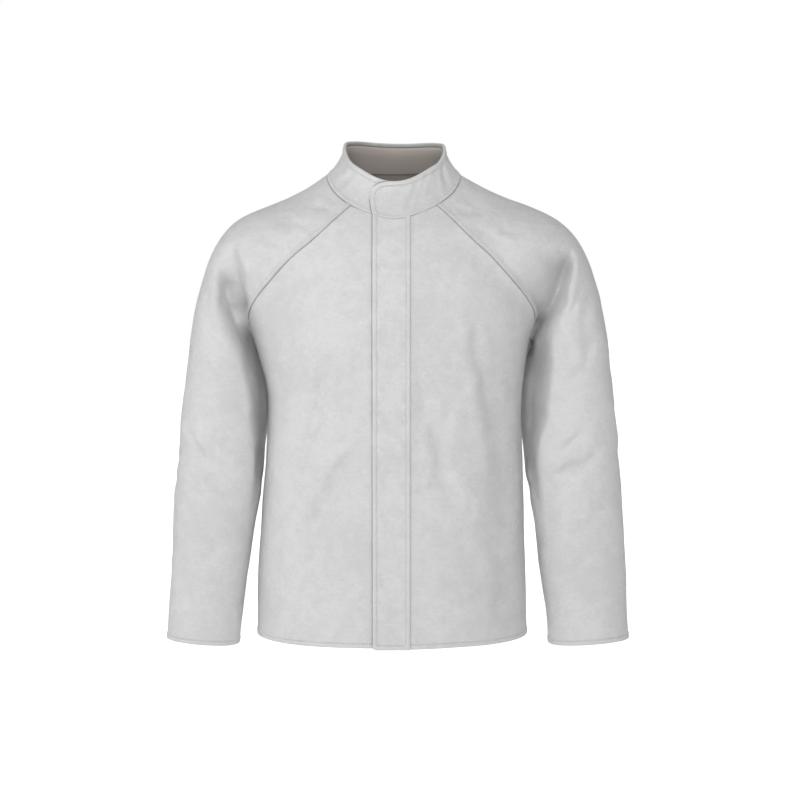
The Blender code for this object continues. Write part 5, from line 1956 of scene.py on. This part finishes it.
class JACKET_OT_stage(bpy.types.Operator):
    """Pale floor, white surroundings, two soft lights and the camera"""

    bl_idname = "jacket.stage"
    bl_label = "Set the stage"

    def execute(self, context):
        """Builds the floor, the lights and the camera at the photograph's angle."""
        look = context.scene.jacket_stage
        x, y = np.meshgrid(np.linspace(*FLOOR_X, 8), np.linspace(*FLOOR_Y, 8), indexing="ij")
        points = np.stack([x, y, np.full_like(x, look.floor_z)], axis=-1)
        number = np.arange(x.size).reshape(x.shape)
        faces = np.stack([number[:-1, :-1], number[1:, :-1], number[1:, 1:], number[:-1, 1:]],
                         axis=-1).reshape(-1, 4)
        finish, nodes, shader = new_finish("pale_floor")
        nodes.fill(shader, {"Base Color": (0.9, 0.9, 0.9, 1), "Roughness": 0.9,
                            "Emission Color": (1, 1, 1, 1)})
        nodes.white_to_camera(look.sky, shader["Emission Strength"])
        put_mesh("floor", points.reshape(-1, 3), faces, [finish])
        for name, power in (("side_light", look.side_power), ("top_light", look.top_power)):
            data = bpy.data.lights.new(name, "AREA")
            data.size = LIGHT_SIZE
            data.energy = power
            self.face(context, name, data, LIGHTS_AIM, LIGHTS_AWAY, *LIGHTS[name])
        world = bpy.data.worlds.new("white_surroundings")
        world.use_nodes = True
        sky = world.node_tree.nodes["Background"].inputs
        sky["Color"].default_value = (1, 1, 1, 1)
        Nodes(world.node_tree).white_to_camera(look.sky, sky["Strength"])
        context.scene.world = world
        context.scene.view_settings.view_transform = "Standard"
        data = bpy.data.cameras.new("camera")
        data.sensor_width = SENSOR
        data.lens = SENSOR * CAMERA_AWAY / (IMAGE_PIXELS * PIXEL)
        context.scene.camera = self.face(context, "camera", data, CAMERA_AIM, CAMERA_AWAY, 0,
                                         CAMERA_LIFT)
        return {"FINISHED"}

    def face(self, context, name, data, aim, away, azimuth, lift):
        """Puts a light or the camera at an azimuth and a lift in degrees and at a distance from
        the place that it faces."""
        turn, up = math.radians(azimuth), math.radians(lift)
        out = Vector((math.sin(turn) * math.cos(up), -math.cos(turn) * math.cos(up),
                      math.sin(up)))
        made = bpy.data.objects.new(name, data)
        made.location = Vector(aim) + away * out
        made.rotation_euler = (-out).to_track_quat("-Z", "Y").to_euler()
        context.scene.collection.objects.link(made)
        return made


class JACKET_PT_panel(bpy.types.Panel):
    """The jacket's settings and pieces"""

    bl_idname = "JACKET_PT_panel"
    bl_label = "Leather jacket"
    bl_space_type = "VIEW_3D"
    bl_region_type = "UI"
    bl_category = "Jacket"

    def draw(self, context):
        """Lists the settings and a button for each piece."""
        for name in SETTINGS:
            box = self.layout.box()
            box.label(text=name.replace("_", " "))
            group = getattr(context.scene, name)
            for label in group.__annotations__:
                box.prop(group, label)
        for operator in OPERATORS:
            self.layout.operator(operator.bl_idname)


OPERATORS = (JACKET_OT_stage, JACKET_OT_fronts, JACKET_OT_back, JACKET_OT_sleeves,
             JACKET_OT_placket, JACKET_OT_collar, JACKET_OT_neck_lining)
SETTINGS = {"jacket_leather": JacketLeather, "jacket_thread": JacketThread,
            "jacket_lining": JacketLining, "jacket_stage": JacketStage}


def register():
    """Registers the settings, the operators and the panel."""
    for name, group in SETTINGS.items():
        bpy.utils.register_class(group)
        setattr(bpy.types.Scene, name, PointerProperty(type=group))
    for operator in OPERATORS:
        bpy.utils.register_class(operator)
    bpy.utils.register_class(JACKET_PT_panel)


def unregister():
    """Takes them out again."""
    bpy.utils.unregister_class(JACKET_PT_panel)
    for operator in reversed(OPERATORS):
        bpy.utils.unregister_class(operator)
    for name, group in SETTINGS.items():
        delattr(bpy.types.Scene, name)
        bpy.utils.unregister_class(group)


def main():
    """Registers the add-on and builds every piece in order."""
    register()
    bpy.ops.jacket.stage()
    bpy.ops.jacket.fronts()
    bpy.ops.jacket.back()
    bpy.ops.jacket.sleeves()
    bpy.ops.jacket.placket()
    bpy.ops.jacket.collar()
    bpy.ops.jacket.neck_lining()


if __name__ == "__main__":
    main()
